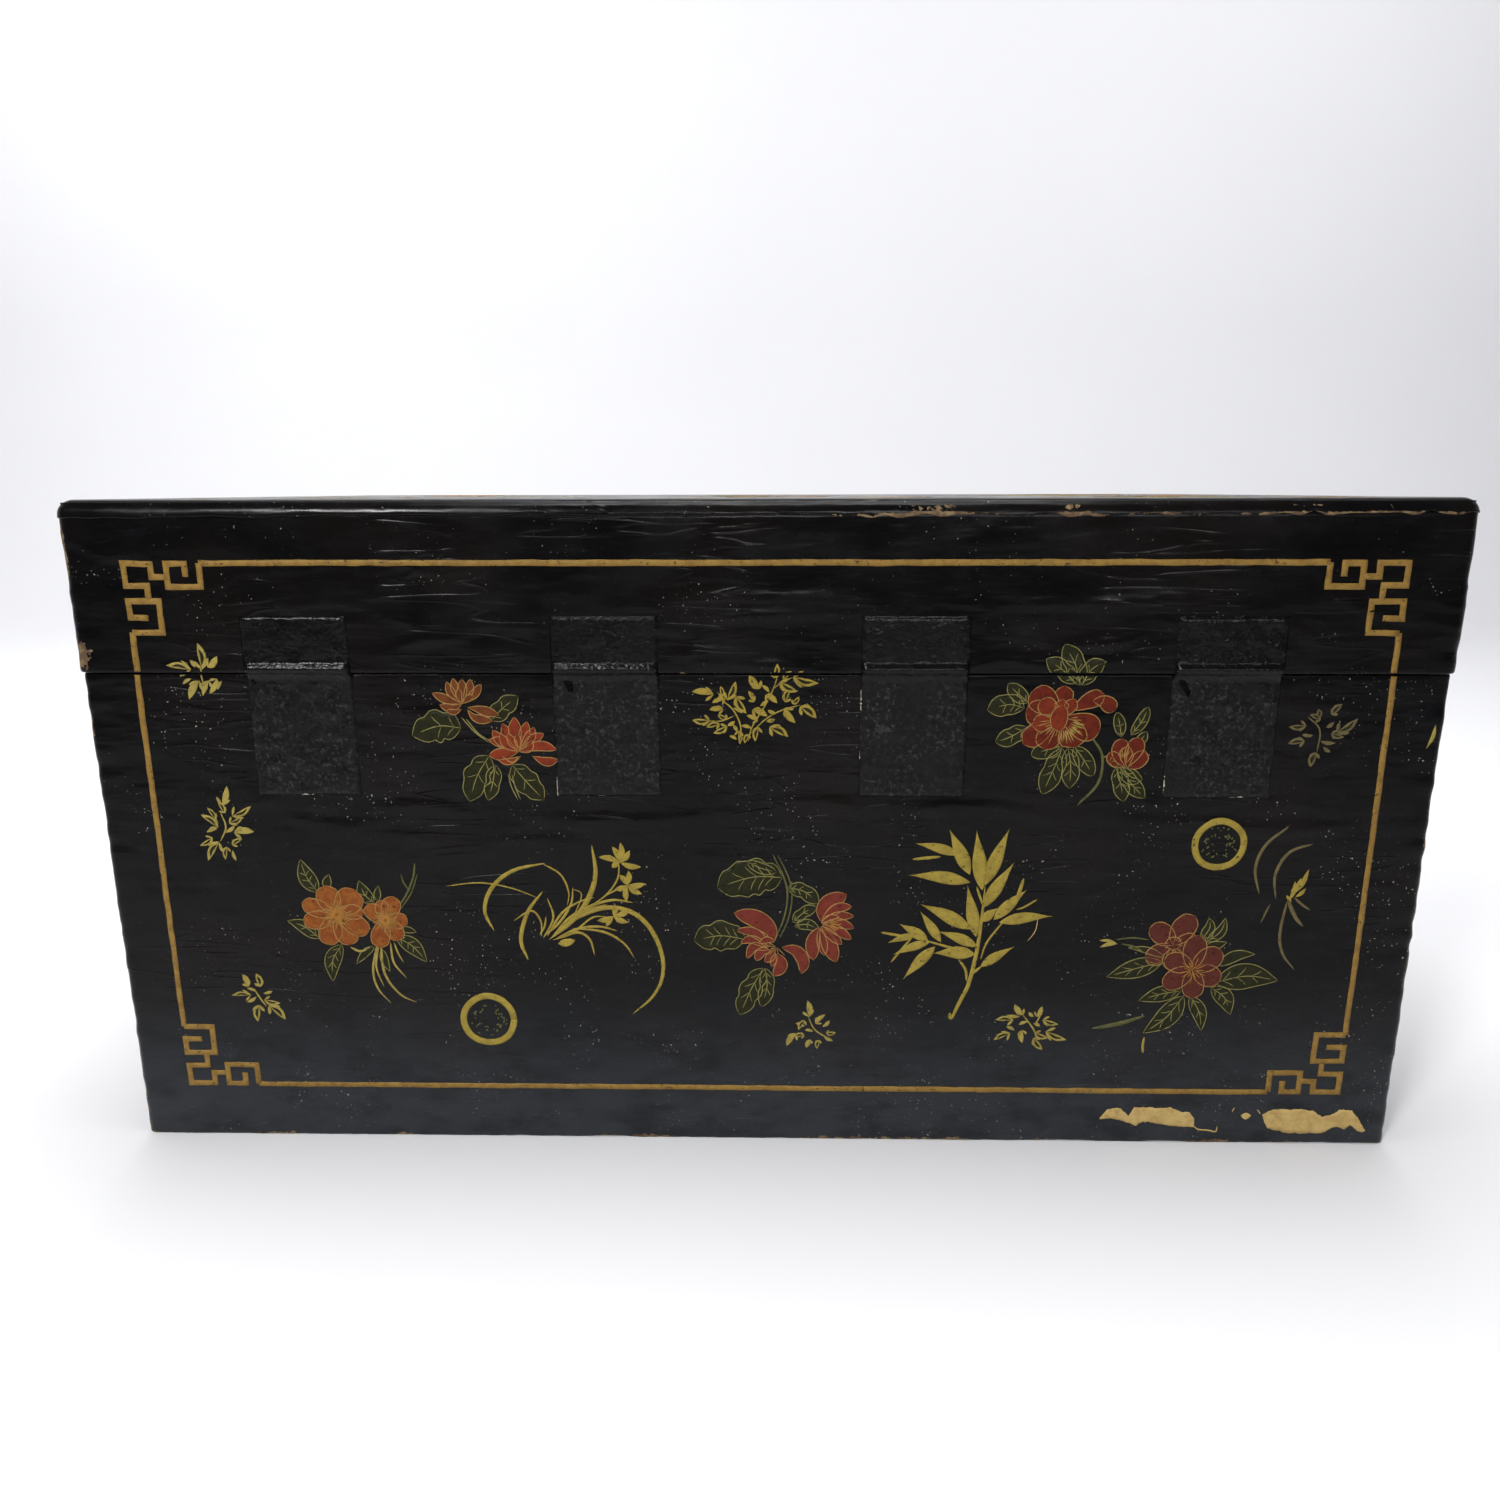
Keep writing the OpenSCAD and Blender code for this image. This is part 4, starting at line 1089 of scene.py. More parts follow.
def orangePair():
    # Two orange blossoms with amber hearts, pointed leaves and fine grass below
    made = leaves([
        ([(-241.5, 147), (-247, 156), (-249.5, 166)], 9.5, 0, 3),
        ([(-242.5, 120), (-251, 127), (-260, 130.5)], 8, 0, 2),
        ([(-231, 116.5), (-237, 107), (-238, 94.5)], 9, 0, 3),
        ([(-200.5, 121), (-192, 116), (-184.5, 106.5)], 9, 0, 3),
        ([(-211, 141), (-216, 146), (-218.5, 154)], 7.5, 0, 2),
        ([(-237, 149), (-236, 153), (-234.5, 157.5)], 4.8, 0, 0),
        ([(-209, 142), (-209, 146), (-208, 151)], 3.8, 0, 0),
        ([(-198, 125), (-194, 125.5), (-189, 124)], 3.8, 0, 0),
        ([(-213, 115), (-218, 112), (-224, 105)], 4.2, 0, 0),
        ([(-209, 114), (-208, 107), (-205.5, 100.5)], 4.2, 0, 0)], 0.42, 0.95)
    made += strokes("leafGold", [
        ([(-211.5, 117), (-215, 101), (-213, 90), (-206.5, 81.5)], 1.3),
        ([(-210.5, 117), (-213, 103), (-209.5, 91)], 1.1),
        ([(-209.5, 117), (-208.5, 99), (-201, 87), (-192, 82)], 1.4),
        ([(-204, 118), (-203, 106), (-196.5, 96.5)], 1.2),
        ([(-202, 118), (-200, 111), (-197.5, 106)], 1.0),
        ([(-226.5, 115), (-221, 112.5), (-214, 116)], 1.3)], 0.35, 0.5, 0.05)
    made += line("leafGrey", [(-200, 136), (-193, 146), (-188.5, 156), (-187, 164)], 1.2)
    made += line("leafGrey", [(-198, 136), (-190.5, 146.5), (-186, 158)], 0.8)
    made += line("leafGrey", [(-191, 148), (-194, 153), (-195, 158)], 0.8)
    made += petals("orange", [
        ([(-232, 134), (-228, 124), (-226, 116.5)], 13), ([(-232, 134), (-237, 123), (-239, 116.5)], 12.5),
        ([(-232, 133.5), (-243, 131), (-251, 130)], 10.5), ([(-232, 134), (-243, 138), (-251, 141)], 10),
        ([(-232, 134), (-222, 128), (-215.5, 124)], 11.5), ([(-231, 134), (-225, 142), (-220.5, 148.5)], 15),
        ([(-232, 134), (-236, 144), (-237, 151)], 13), ([(-231, 135), (-224, 136), (-217.5, 134.5)], 8.5)],
        0.08, 0.6, 0.4)
    made += petals("orange", [
        ([(-206, 131), (-209, 122), (-210, 114.5)], 10.5), ([(-205, 131), (-201, 125), (-199.5, 119)], 9.6),
        ([(-206, 131), (-212, 136), (-214.5, 140.5)], 9.6), ([(-205, 131), (-199, 131), (-193.5, 129)], 9),
        ([(-205.5, 131), (-202, 139), (-200.5, 145)], 10.4), ([(-206, 131), (-207, 138), (-207, 143)], 7.5)],
        0.08, 0.58, 0.4)
    for x, z, r in ((-232, 134, 4.6), (-205.5, 131, 3.8)):
        made += rays("amber", (x, z), 0.6, 1.9 * r, 26, 0, 360, 0.62, 0.46)
        made += rays("petalLine", (x, z), 0.9 * r, 2.1 * r, 31, 5, 360, 0.4, 0.5)
    return made


def redFlowers():
    made = line("leafGrey", [(7, 170), (13, 157), (15, 146), (13, 133), (8, 121)], 1.0)
    made += line("leafGrey", [(9.5, 170), (15.5, 157), (17.5, 146), (15.5, 133), (11, 122)], 0.8)
    made += leaves([
        ([(12, 157), (-4, 157), (-23, 151)], 22, 4, 4),
        ([(15, 151), (24, 149), (32, 142)], 9, 2, 3),
        ([(-8, 121), (-22, 123), (-36, 120)], 18, 3, 4),
        ([(2, 104), (-5, 91), (-11, 76)], 13, 3, 3), ([(3, 104), (4, 93), (1, 81)], 9, 2, 3),
        ([(18, 131), (24, 137), (31, 140)], 7, 2, 2),
        ([(19, 129), (26, 130), (32, 127)], 6, 0, 2), ([(-7, 166), (1, 162), (9, 160)], 6, 0, 1)], 0.48, 0.5,
        0.26)
    made += petals("rose", [
        ([(7.5, 119), (5.5, 127), (-2, 133), (-14, 136.5)], 10),
        ([(12, 116.5), (20, 114.5), (24, 108), (23, 101)], 7),
        ([(6, 117), (-3, 125), (-12.5, 126.5)], 5.2), ([(5, 116.5), (-4, 121), (-10.5, 119)], 4.6),
        ([(9.5, 113), (12, 106), (7.5, 99.5)], 6.6), ([(5, 115), (-3, 117), (-7, 110)], 4.8),
        ([(6, 114), (1, 114), (-2, 108.5)], 5.2), ([(7.5, 116), (6, 111), (2.5, 108)], 4.8),
        ([(8, 120), (4, 121), (0, 119)], 3.6), ([(9, 113), (8, 110), (6.5, 105)], 3.4)], 0.10, 0.55, 0.62)
    made += petals("rose", [
        ([(33, 132), (36, 141), (47, 147.5)], 9.5), ([(32.5, 128.5), (29, 120), (29.5, 109)], 7.4),
        ([(33.5, 128.5), (37.5, 119.5), (42, 108)], 8.4), ([(32.5, 128), (34, 120), (35.5, 112)], 5.4),
        ([(33.5, 131.5), (42, 139.5), (50, 140.5)], 5.4), ([(33.5, 129), (40, 123), (45, 118.5)], 5.0),
        ([(34, 130), (42, 127), (50, 121.5)], 5.4), ([(33.5, 131), (42.5, 135), (51, 135)], 5.0),
        ([(34, 130.5), (43, 131), (51.5, 128)], 5.2), ([(33.5, 131), (38, 134), (43, 134.5)], 3.4)], 0.10,
        0.55, 0.62)
    made += rays("petalLine", (9, 117), 0.5, 7, 7, 150, 190, 0.45, 0.5)
    made += rays("amber", (36, 130), 2, 9, 7, -30, 75, 0.6, 0.5)
    return made


def peony():
    made = line("leafGrey", [(172, 236), (179, 225), (178, 210), (168, 198)], 1.4, 0.02)
    made += line("leafGrey", [(178, 224), (186, 225), (192, 227)], 1.2, 0.02)
    made += leaves([
        ([(165, 262), (162, 273), (156, 283.5)], 11.5, 2, 3),
        ([(163, 263), (156, 270), (147, 276)], 10, 2, 3),
        ([(166, 262), (170, 270), (177, 275)], 10, 2, 2),
        ([(137, 250), (129, 252), (118, 249)], 12, 2, 3),
        ([(139, 253), (133, 258), (128, 263)], 8, 0, 2),
        ([(139, 240), (131, 235), (123, 232)], 10, 2, 2),
        ([(158, 230), (150, 228), (142, 225)], 9, 0, 2),
        ([(158, 229), (154, 217), (149, 204)], 12, 2, 3),
        ([(161, 229), (163, 219), (163, 207)], 10, 2, 3),
        ([(164, 230), (170, 222), (175, 214)], 9, 0, 2),
        ([(188, 235), (187, 241), (185, 248)], 6, 0, 2),
        ([(193, 236), (198, 243), (201, 251)], 6, 0, 2),
        ([(196, 231), (199, 234), (201, 238)], 5, 0, 1),
        ([(188, 222), (194, 214), (201, 212)], 9, 2, 2),
        ([(188, 219), (196, 209), (203, 202)], 9, 2, 3),
        ([(187, 219), (190, 209), (192, 200)], 9, 2, 2),
        ([(189, 222), (185, 222), (183, 222)], 6, 0, 1)], 0.5, 0.55, 0.22)
    heart = (156, 245)
    made += petals("peony", [
        ([heart, (157, 253), (157, 262)], 9.5), ([(162, 249), (170, 254), (178, 257)], 9.0),
        ([(172, 254), (178, 253.5), (184, 249)], 8.0), ([heart, (146, 238), (137.5, 231)], 11.5),
        ([heart, (147, 247), (138, 248.5)], 13.5), ([heart, (148, 253), (140.5, 259)], 14.5),
        ([heart, (151, 236), (148.5, 228.5)], 12.5), ([heart, (167, 241), (176.5, 238)], 14.5),
        ([heart, (162, 237), (165, 229.5)], 14.5)], 0.08, 0.68, 0.42)
    made += petals("peonyHeart", [
        ([heart, (160, 250), (163, 255)], 6.5), ([heart, (149, 243), (141.5, 241)], 9.0),
        ([heart, (150, 250), (145, 254)], 9.5), ([heart, (156, 250), (156.5, 255)], 7.0)], 0.36, 0.68, 0.45)
    made += rays("petalLine", (156, 244), 5.5, 14, 19, -175, 195, 0.5, 0.55)
    made += rays("leafGold", (158, 243), 5, 12.5, 11, -88, 95, 0.6, 0.6)
    made += petals("peonyHeart", [([(156, 238), (155, 244), (157, 251.5)], 8.8)], 0.62, 0.5, 0.42)
    made += petals("peony", [
        ([(191, 219), (186, 222), (183, 227)], 7.0), ([(193, 218), (198, 222), (200.5, 228)], 8.0),
        ([(191, 219), (188, 226), (189, 234)], 8.6), ([(192, 219), (195, 227), (198, 234.5)], 9.2),
        ([(191, 220), (191, 225), (192.5, 230)], 6.4)], 0.08, 0.64, 0.45)
    return made + rays("petalLine", (190, 222), 2, 8, 6, 60, 80, 0.45, 0.4)


def darkRedPair():
    # Two dull red blossoms, one over the other, with pointed leaves all round
    made = leaves([
        ([(220, 109), (206, 105), (190.5, 100)], 11, 0, 3),
        ([(221, 112), (211, 116), (201, 117.5)], 3.6, 0, 0),
        ([(250, 97), (267, 101), (284, 98.5)], 15, 0, 3),
        ([(250, 107), (260, 113), (270, 114)], 6.4, 0, 0),
        ([(248, 94), (256, 88), (260, 78)], 9.5, 0, 3),
        ([(237, 89), (243, 79), (245, 68)], 8, 0, 2),
        ([(233.5, 89), (225, 76), (213, 66.5)], 12, 0, 3),
        ([(232, 92), (221, 90), (209, 86)], 9, 0, 3),
        ([(240, 122), (244, 129), (243, 135)], 6.4, 0, 1),
        ([(243, 121), (250, 127), (252, 135)], 6, 0, 1),
        ([(243, 119), (249, 119), (254, 121)], 4.8, 0, 0)], 0.42, 0.95)
    made += line("leafGrey", [(194, 122), (203, 123), (212, 122)], 0.9, 0.02)
    made += line("leafGrey", [(197, 119.5), (204, 118), (210, 114.5)], 0.9)
    made += gilt([(195, 119.5, 185, 121.5, 2.2), (195, 119.5, 185.5, 117.5, 2.6),
                  (203, 118, 209, 114.5, 1.6)], "leafGold")
    made += stroke("leafGrey", [(213.5, 77), (199, 72), (184, 69)], 2.6)
    made += line("leafGold", [(214, 64), (213.5, 59), (214, 54)], 1.4)
    made += petals("darkRed", [
        ([(225, 118.5), (217, 113), (210.5, 112)], 12),
        ([(225.5, 118), (226, 109), (225, 104)], 12),
        ([(225, 119), (233, 119), (240, 121)], 14),
        ([(225, 119), (218, 126), (211.5, 128.5)], 12),
        ([(225.5, 119), (230, 129), (235.5, 136)], 13),
        ([(220.5, 119), (225, 120), (229.5, 119)], 7.5)], 0.08, 0.56, 0.42)
    made += petals("darkRed", [
        ([(237, 105), (238, 95), (238.5, 87.5)], 12),
        ([(237, 105), (246, 101), (252, 97.5)], 12.5),
        ([(237, 105), (228, 99), (222, 94.5)], 12),
        ([(236.5, 105), (228, 109), (221, 110)], 11.5),
        ([(237, 105), (245, 111), (251.5, 116)], 13.5),
        ([(236.5, 105), (237, 116), (238.5, 125)], 12.5)], 0.30, 0.56, 0.42)
    made += rays("petalLine", (225, 119), 3, 6.5, 9, 0, 360, 0.4, 0.62)
    made += rays("amber", (237, 104.5), 1.5, 8, 15, 0, 360, 0.45, 0.72)
    return made + gilt([(232, 120.5, 238, 121, 1.6), (233, 118.5, 238, 119, 1.4)], "amber")


def tornSpots():
    # Bare wood where the skin is torn away at the foot
    first = [(193, 14), (197, 19.5), (204, 20), (209, 15.5), (212, 20.5), (232, 20.5), (238, 18), (243, 17.5),
             (246, 14)]
    firstLow = [(193, 13), (198, 13.5), (203, 13), (208, 11), (213, 9), (216, 11), (220, 12), (228, 10),
                (239, 9), (246.5, 8.5)]
    second = [(284, 17), (290, 20), (301, 20), (312, 19.5), (318, 15), (324, 17.5), (327, 20), (334, 20),
              (338, 15), (343, 7)]
    secondLow = [(286, 11), (288, 8), (296, 6), (305, 5), (318, 5.5), (326, 9.5), (331, 8), (334, 10),
                 (339, 6.5), (341, 6)]
    made = []
    for top, low in ((first, firstLow), (second, secondLow)):
        a, b = (np.stack([np.interp(np.linspace(0, len(p) - 1, 150), np.arange(len(p)),
                                    np.array(p, float)[:, k])
                          for k in (0, 1)], -1) for p in (top, low))
        jag = (0.6 * latticeNoise(a[:, 0] / 2.3, 0.2, 0.4, 91) + 0.4
               * latticeNoise(a[:, 0] / 0.8, 0.2, 0.4, 92))[:, None]
        s = np.linspace(0, 1, 7)[None, :, None]
        grid = (a + [0, 1] * jag)[:, None] * (1 - s) + (b - [0, 1] * jag)[:, None] * s
        made += [shape("bareWood", grid, 0.0, 0.5)]
    made += line("bareWood", [(151, 135), (150, 127), (146, 121)], 0.45)
    made += line("bareWood", [(246, 9.5), (249, 7), (255, 6.5), (259, 5.5), (259.5, 9)], 0.8)
    made += line("bareWood", [(268, 21), (267, 18)], 0.6) + line("bareWood", [(281, 20), (283, 17)], 0.6)
    return made + gilt([(272, 16, 278, 16, 5)], "bareWood") + gilt([(346, 229, 349, 242, 2.4)], "leafGold")


# Paint colours, each with a darker one that it varies towards
paints = {
    "gold": ((0.30, 0.225, 0.040), (0.15, 0.105, 0.020)),
    "leafGold": ((0.31, 0.245, 0.060), (0.15, 0.11, 0.028)),
    "ochre": ((0.255, 0.152, 0.036), (0.13, 0.070, 0.018)),
    "faded": ((0.130, 0.105, 0.045), (0.055, 0.043, 0.020)),
    "leafDark": ((0.017, 0.018, 0.006), (0.007, 0.007, 0.003)),
    "leafGrey": ((0.10, 0.098, 0.034), (0.045, 0.042, 0.016)),
    "leafLine": ((0.22, 0.20, 0.065), (0.10, 0.09, 0.03)),
    "petalLine": ((0.33, 0.19, 0.060), (0.17, 0.085, 0.026)),
    "red": ((0.19, 0.028, 0.010), (0.07, 0.012, 0.005)),
    "rust": ((0.13, 0.038, 0.011), (0.055, 0.016, 0.006)),
    "rose": ((0.15, 0.026, 0.016), (0.060, 0.011, 0.007)),
    "peony": ((0.115, 0.015, 0.006), (0.045, 0.007, 0.004)),
    "peonyHeart": ((0.165, 0.024, 0.008), (0.075, 0.011, 0.005)),
    "darkRed": ((0.088, 0.020, 0.013), (0.040, 0.010, 0.007)),
    "orange": ((0.17, 0.042, 0.009), (0.30, 0.115, 0.020)),
    "amber": ((0.36, 0.17, 0.035), (0.20, 0.08, 0.02)),
    "bareWood": ((0.50, 0.355, 0.135), (0.29, 0.175, 0.060)),
}


@memo
def paint(colour):
    # Brushed colour, darker towards a stroke's root and in clouds, rubbed back to the black in small spots
    bright, dark = paints[colour]
    material, tree, shader = newMaterial("paint" + colour[0].upper() + colour[1:])
    kept = node(tree, "SeparateXYZ", {0: keptNumber(tree, "paint").outputs["Vector"]}).outputs
    root = spread(tree, kept[0], 0.0, 0.75, 0.75, 0.0)
    mottle = spread(tree, cloud(tree, 6, 5, 0.7), 0.38, 0.66)
    share = calc(tree, "MAXIMUM", calc(tree, "MULTIPLY", root, mottle), calc(tree, "MULTIPLY", mottle, 0.55))
    colourOut = blend(tree, share, bright, dark)
    rubbed = spread(tree, cloud(tree, (2.6, 2.6, 1.7), 4, 0.7), 0.60, 0.66, 0, 0.0
                    if colour == "bareWood" else 0.8)
    tree.links.new(blend(tree, rubbed, colourOut, lacquerLook["deep"]), shader.inputs["Base Color"])
    shader.inputs["Roughness"].default_value = 0.8 if colour == "bareWood" else 0.38
    shader.inputs["Specular IOR Level"].default_value = 0.09
    grain = (30, 30, 0.8) if colour == "bareWood" else (1.2, 1.2, 1.2)
    bumps(tree, shader, (cloud(tree, grain, 3, 0.6), 0.12))
    return material


# Where a drawing goes: the face's across and up directions, and how far it lies from the middle of the chest
layout = {
    "bodySize": (0.994, 0.9958),    # the drawings are laid out on the lid's plane, a little before the walls'
    "bodyShift": (0.10, 1.4),
    "lidSize": (0.989, 0.9891),
    "lidShift": (0.12, 3.4),
    "lift": 0.16,
    "topLift": 0.09,
    "seamGap": 0.8,
    "thick": 0.35,
}


outwards = {"hinge": (0, -1, 0), "lock": (0, 1, 0), "right": (1, 0, 0), "left": (-1, 0, 0), "top": (0, 0, 1)}


def onWall(outward, u, v, lid):
    # Across and up on a wall, to a place in the room that stands on the hide's own height
    half = lidHigh if lid else bodyHigh
    base = half[1] if outward[1] else half[0]
    x, y = outward[0] * base - outward[1] * u, outward[1] * base + outward[0] * u
    high = sideHeight(x, y, v)
    return np.stack([x + outward[0] * high, y + outward[1] * high, v], -1)


def lay(name, shapes, face, measured=False):
    # One mesh for each colour on each body, cut clear of the seam and given its thickness by a Solidify
    sets = {}
    outward, gap = np.array(outwards[face], float), layout["seamGap"]
    for part in shapes:
        for lid in (False, True):
            grid = np.array(part["grid"], float)
            if measured:
                size, shift = (layout["lidSize"], layout["lidShift"]) if lid else (layout["bodySize"],
                                                                                   layout["bodyShift"])
                grid = grid * size + shift
            v = grid[..., 1]
            if face == "top":
                if not lid:
                    continue
                fade = smoothStep(0, 10, lidHigh[0] - 8 - np.abs(grid[..., 0])) * smoothStep(
                    0, 10, lidHigh[1] - 8 - np.abs(v))
                z = lidTop + fade * topHeight(grid[..., 0], v) - 0.3 * fade
                points = np.stack([grid[..., 0], v, z], -1)
                raised = layout["topLift"] + 0.4 * part["lift"]
            else:
                if v.max() < seamZ + gap if lid else v.min() > bodyTop - gap:
                    continue
                points = onWall(outward, grid[..., 0], v, lid)
                raised = layout["lift"] + part["lift"]
            points = points + raised[..., None] * outward
            sets.setdefault((part["colour"], lid), []).append((points, part["kept"]))
    for (colour, lid), grids in sets.items():
        start, faces = 0, []
        for points, kept in grids:
            rows, columns = points.shape[:2]
            quads = gridFaces(rows, columns) + start
            i = rows // 2
            facing = np.cross(points[i, -1] - points[i, 0], points[i + 1, 0] - points[i - 1, 0]) @ outward
            faces.append(quads[:, ::-1] if facing < 0 else quads)
            start += rows * columns
        points = np.concatenate([p.reshape(-1, 3) for p, _ in grids])
        kept = np.concatenate([k.reshape(-1, 3) for _, k in grids])
        item = meshObject("%s_%s_%s" % (name, colour, "lid" if lid else "body"), points,
                          np.concatenate(faces).tolist(),
                          paint(colour), values={"paint": kept})
        if face != "top":
            cutAtSeam(item, lid)
        if len(item.data.polygons) == 0:
            bpy.data.objects.remove(item)
            continue
        closed = item.modifiers.new("closed", "SOLIDIFY")
        closed.thickness = layout["thick"] * mm
        closed.offset = -1
        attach(item, "lid" if lid else "chest_body")


def cutAtSeam(item, lid):
    work = bmesh.new()
    work.from_mesh(item.data)
    z = (seamZ + layout["seamGap"]) if lid else (bodyTop - layout["seamGap"])
    bmesh.ops.bisect_plane(work, geom=work.verts[:] + work.edges[:] + work.faces[:], plane_co=(0, 0, z * mm),
                           plane_no=(0, 0, 1), clear_inner=lid, clear_outer=not lid)
    work.to_mesh(item.data)
    work.free()


def shifted(shapes, across, up):
    return [{**part, "grid": part["grid"] + (across, up)} for part in shapes]


def makeHingePaint():
    b = border
    shapes = (framed(b["left"], b["right"], b["bottom"], b["top"]) + sprigs() + spray() + bamboo() + orchid()
              + faintOrchid()
              + coins() + chrysanthemums() + orangePair() + redFlowers() + peony() + darkRedPair()
              + tornSpots())
    lay("hingePaint", shapes, "hinge", measured=True)


def makeOtherPaint():
    # The sides that are turned away carry the same drawings, moved to suit the lock and the handles
    low, high = border["bottom"], border["top"]
    lock = framed(-324, 324, low, high)
    for drawing, across, up in ((chrysanthemums, -82, -15), (bamboo, -350, -13), (orangePair, 92, -5),
                                (redFlowers, -10, -14),
                                (orchid, 248, -10), (darkRedPair, 25, 0), (peony, 70, -18)):
        lock += shifted(drawing(), across, up)
    lay("lockPaint", lock, "lock")
    for face in ("right", "left"):
        end = framed(-199, 199, low, high)
        for drawing, across, up in ((spray, 0, -8), (darkRedPair, -235, -18), (bamboo, -250, 5),
                                    (orchid, 243, 0),
                                    (chrysanthemums, 18, 2), (peony, -25, -8)):
            end += shifted(drawing(), across, up)
        lay(face + "Paint", end, face)
    top = framed(-322, 322, -197, 197)
    for drawing, across, up in ((orchid, -77, -130), (bamboo, 85, -128), (peony, -160, -165),
                                (redFlowers, -10, -190),
                                (orangePair, -18, -15), (chrysanthemums, 388, -115), (darkRedPair, 5, -220),
                                (spray, -237, -372)):
        top += shifted(drawing(), across, up)
    lay("topPaint", top, "top")


# The brass, wood and iron parts: the frame's own shapes, with their edges rounded
brassLook = {
    "bright": (0.68, 0.46, 0.17),
    "aged": (0.33, 0.20, 0.068),
    "tarnish": (0.115, 0.070, 0.028),
    "dirt": (0.030, 0.021, 0.012),
    "ringWidth": 5.4,    # mm between the chased rings
}


@memo
def brass(plate=False):
    # Aged brass: cloudy tarnish, dirt in spots, fine scratches; a lock plate is darker and is chased
    # with rings and rays
    look = brassLook
    material, tree, shader = newMaterial("brassPlate" if plate else "brass")
    bright, aged = (look["aged"], look["tarnish"]) if plate else (look["bright"], look["aged"])
    colour = blend(tree, spread(tree, cloud(tree, 15, 5, 0.65), 0.36, 0.62), aged, bright)
    dirt = spread(tree, cloud(tree, 4, 5, 0.7), 0.54, 0.70)
    heights = [(cloud(tree, 5, 3), 0.12), (cloud(tree, (9, 9, 0.5), 3, 0.6), 0.03)]
    if plate:
        where = node(tree, "Mapping", {0: node(tree, "TexCoord").outputs["Object"],
                                       1: (0, 0, -seamZ * mm)}).outputs[0]
        parts = node(tree, "SeparateXYZ", {0: where}).outputs
        flat = node(tree, "CombineXYZ", {0: parts[0], 2: parts[2]}).outputs[0]
        far = node(tree, "VectorMath", {0: flat}, operation="LENGTH").outputs[1]
        turn = node(tree, "Math", {0: parts[2], 1: parts[0]}, operation="ARCTAN2").outputs[0]
        rings = waveOf(tree, far, 2 * math.pi / (look["ringWidth"] * mm))
        spokes = waveOf(tree, turn, 24)
        outer = spread(tree, far, 33.0 * mm, 33.4 * mm)
        chased = calc(tree, "MAXIMUM", spread(tree, rings, 0.93, 0.99),
                    calc(tree, "MULTIPLY", spread(tree, spokes, 0.90, 0.99), outer))
        dirt = calc(tree, "MAXIMUM", dirt, calc(tree, "MULTIPLY", chased, 0.85))
        heights.append((calc(tree, "SUBTRACT", 1.0, chased), 0.3))
    tree.links.new(blend(tree, dirt, colour, look["dirt"]), shader.inputs["Base Color"])
    tree.links.new(spread(tree, cloud(tree, 8, 5, 0.65), 0.3, 0.7, 0.20, 0.48), shader.inputs["Roughness"])
    tree.links.new(spread(tree, dirt, 0.0, 1.0, 1.0, 0.4), shader.inputs["Metallic"])
    bumps(tree, shader, *heights)
    return material


def waveOf(tree, value, times):
    return node(tree, "Math", {0: calc(tree, "MULTIPLY", value, times)}, operation="COSINE").outputs[0]


woodLook = {
    "pale": (0.42, 0.27, 0.135),
    "mid": (0.30, 0.18, 0.082),
    "dark": (0.15, 0.082, 0.036),
    "stain": (0.075, 0.045, 0.024),
}


@memo
def wood(axis, handled=False):
    # Planed camphor: long growth bands bent by slow noise, fine pores and stains; axis is the grain's
    look = woodLook
    material, tree, shader = newMaterial("wood%s%s" % (axis, "Handled" if handled else ""))
    long = "XYZ".index(axis)

    def grain(length, width):
        return tuple(length if i == long else width for i in range(3))

    bend = cloud(tree, grain(260, 22), 3, 0.5, 0.8)
    bands = node(tree, "Math", {0: calc(tree, "MULTIPLY", bend, 34.0)}, operation="SINE").outputs[0]
    colour = blend(tree, spread(tree, bands, -1.0, 1.0), look["mid"], look["pale"])
    colour = blend(tree, spread(tree, cloud(tree, grain(70, 1.1), 3, 0.6), 0.55, 0.75, 0, 0.7), colour,
                   look["dark"])
    stains = spread(tree, cloud(tree, grain(60, 40), 4, 0.6), 0.55, 0.78, 0, 0.75 if handled else 0.5)
    tree.links.new(blend(tree, stains, colour, look["stain"]), shader.inputs["Base Color"])
    low, high = (0.36, 0.6) if handled else (0.55, 0.8)
    tree.links.new(spread(tree, cloud(tree, 20, 3), 0.3, 0.7, low, high), shader.inputs["Roughness"])
    shader.inputs["Specular IOR Level"].default_value = 0.3
    bumps(tree, shader, (cloud(tree, grain(50, 0.9), 3, 0.6), 0.16), (cloud(tree, grain(180, 14), 2), 0.25))
    return material


@memo
def iron():
    material, tree, shader = newMaterial("nailIron")
    rust = spread(tree, cloud(tree, 2.2, 4, 0.65), 0.4, 0.62)
    tree.links.new(blend(tree, rust, (0.055, 0.052, 0.050), (0.16, 0.065, 0.030)),
                   shader.inputs["Base Color"])
    tree.links.new(spread(tree, rust, 0.0, 1.0, 0.4, 0.8), shader.inputs["Roughness"])
    tree.links.new(spread(tree, rust, 0.0, 1.0, 0.9, 0.1), shader.inputs["Metallic"])
    bumps(tree, shader, (cloud(tree, 1.2, 4), 0.15))
    return material


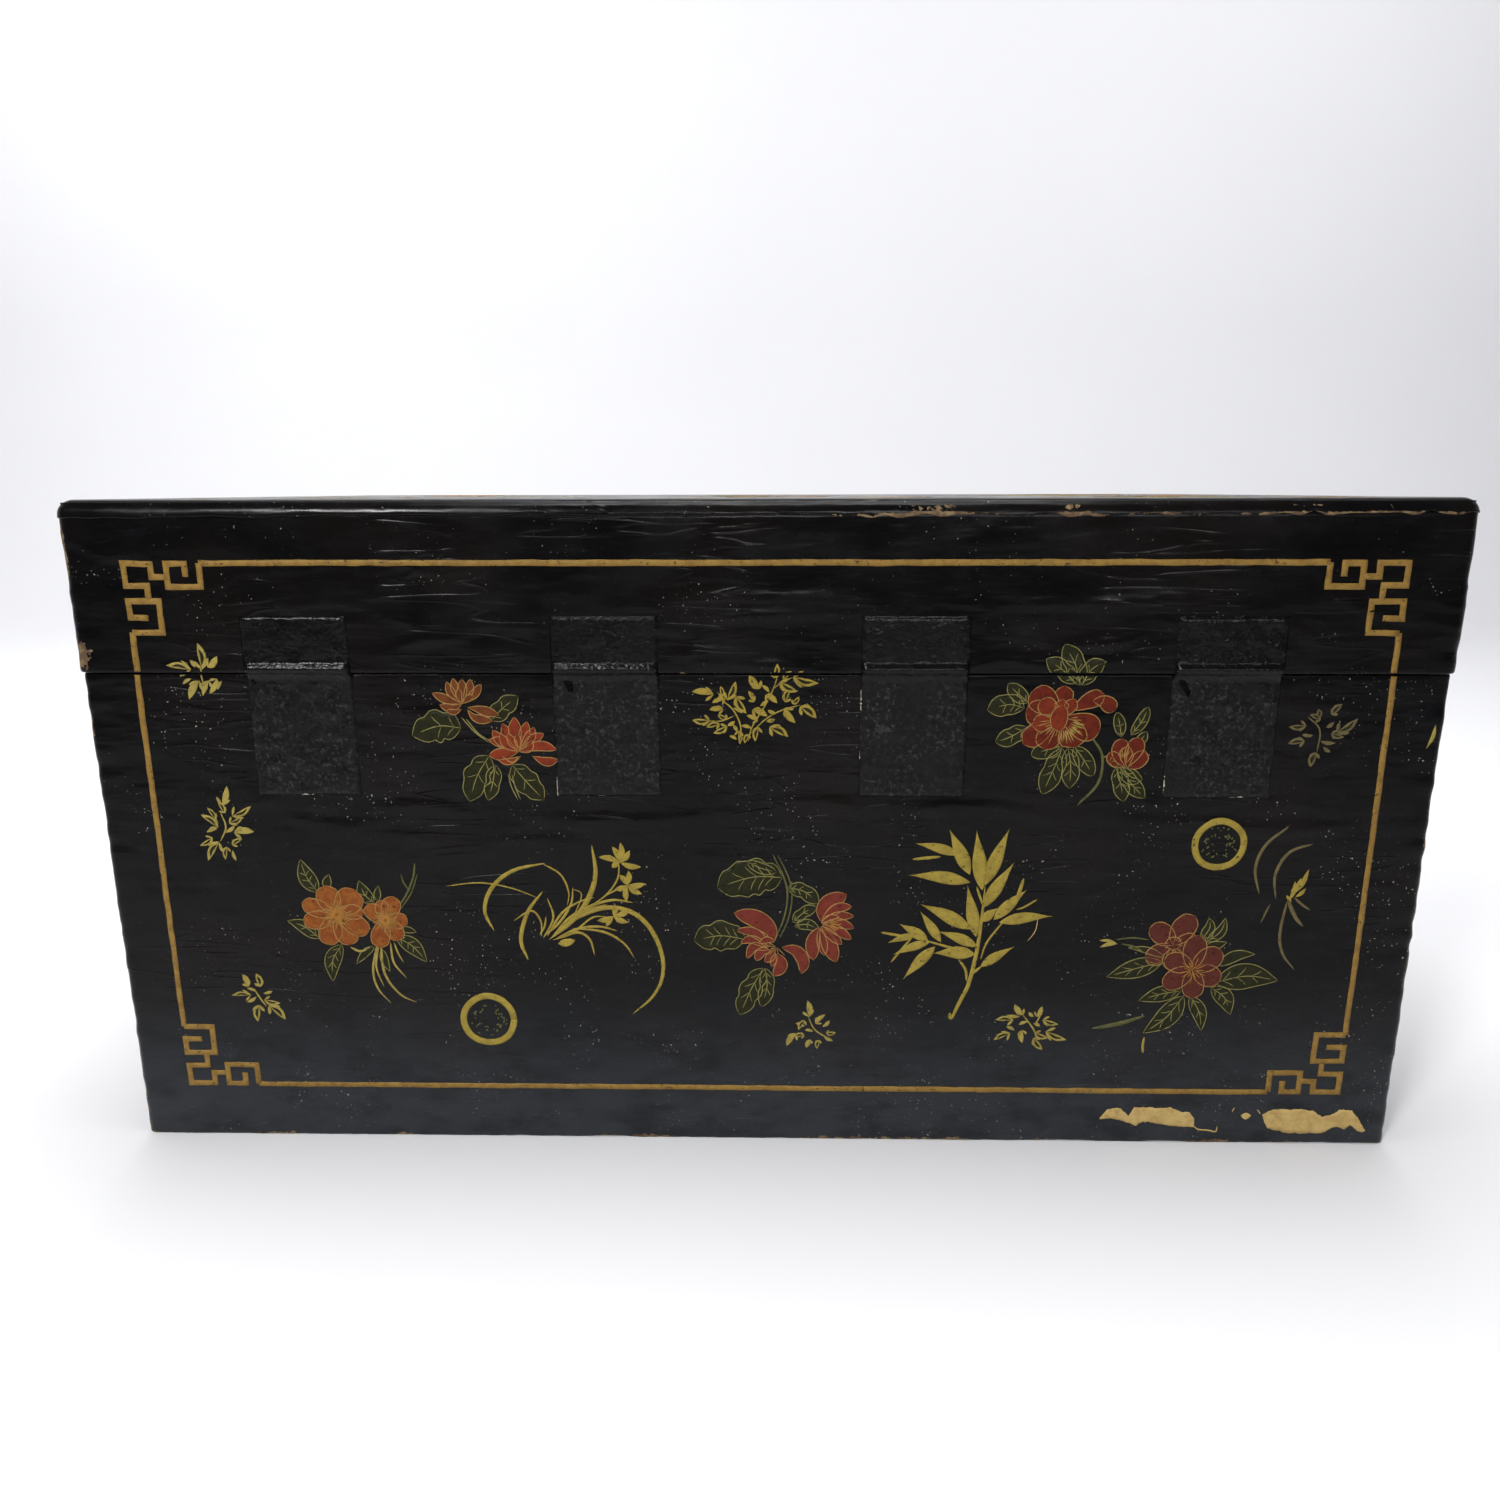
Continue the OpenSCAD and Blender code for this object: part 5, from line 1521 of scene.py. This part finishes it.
fittings = {   # node: width of the rounded edge in mm
    "body_lock_plate": 0.25, "lid_lock_plate": 0.25, "hasp": 0.45, "lock_loop_left": 0.4,
    "lock_loop_right": 0.4,
    "left_rosettes": 0.3, "right_rosettes": 0.3, "left_posts": 0.5, "right_posts": 0.5, "left_washers": 0.2,
    "right_washers": 0.2, "body_lock_tacks": 0, "lid_lock_tacks": 0, "hasp_pin": 0.3, "left_bail": 0,
    "right_bail": 0,
}
boards = {   # node: direction of the grain
    "bottom_board": "X", "wall_hinge_side": "X", "wall_lock_side": "X", "wall_left": "Y", "wall_right": "Y",
    "lid_board": "X",
    "rail_hinge_side": "X", "rail_lock_side": "X", "rail_left": "Y", "rail_right": "Y", "lip_hinge_side": "X",
    "lip_lock_side": "X", "lip_left": "Y", "lip_right": "Y",
}


def rounded(name, width, material):
    # A merged copy of the frame's part, its flat faces joined, with a Bevel on its sharp edges
    source = frame["nodes"][name]
    mesh = source.data.copy()
    work = bmesh.new()
    work.from_mesh(mesh)
    bmesh.ops.remove_doubles(work, verts=work.verts, dist=0.01 * mm)
    bmesh.ops.dissolve_limit(work, angle_limit=math.radians(0.4), verts=work.verts, edges=work.edges)
    work.to_mesh(mesh)
    work.free()
    mesh.materials.clear()
    mesh.materials.append(material)
    mesh.shade_smooth()
    mesh.set_sharp_from_angle(angle=math.radians(32))
    words = name.split("_")
    item = bpy.data.objects.new(words[0] + "".join(w.capitalize() for w in words[1:]), mesh)
    bpy.context.scene.collection.objects.link(item)
    if width:
        bevel = item.modifiers.new("edges", "BEVEL")
        bevel.width = width * mm
        bevel.segments = 2
        bevel.limit_method = "ANGLE"
        bevel.angle_limit = math.radians(40)
    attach(item, source["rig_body"])
    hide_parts(name)


def makeFittings():
    for name, width in fittings.items():
        rounded(name, width, brass("lock_plate" in name))


def makeWood():
    for name, axis in boards.items():
        handled = name.startswith("lip")
        rounded(name, 0.6 if handled else 0.3, wood(axis, handled))


def finishOthers():
    # The nails and the skin underneath keep the frame's own shapes
    for name, material in (("bottom_nails", iron()), ("lid_nails", iron()), ("bottom_hide", lacquer(False))):
        materials = frame["nodes"][name].data.materials
        materials.clear()
        materials.append(material)


makeCamera()
makeStage()
print("camera, floor and lights are in")
makeBodyHide()
makeBandHide()
makeTopHide()
makeStraps()
print("hides and straps are made")
makeHingePaint()
makeOtherPaint()
print("paint is on")
makeFittings()
makeWood()
finishOthers()
print("brass, wood and nails are finished")
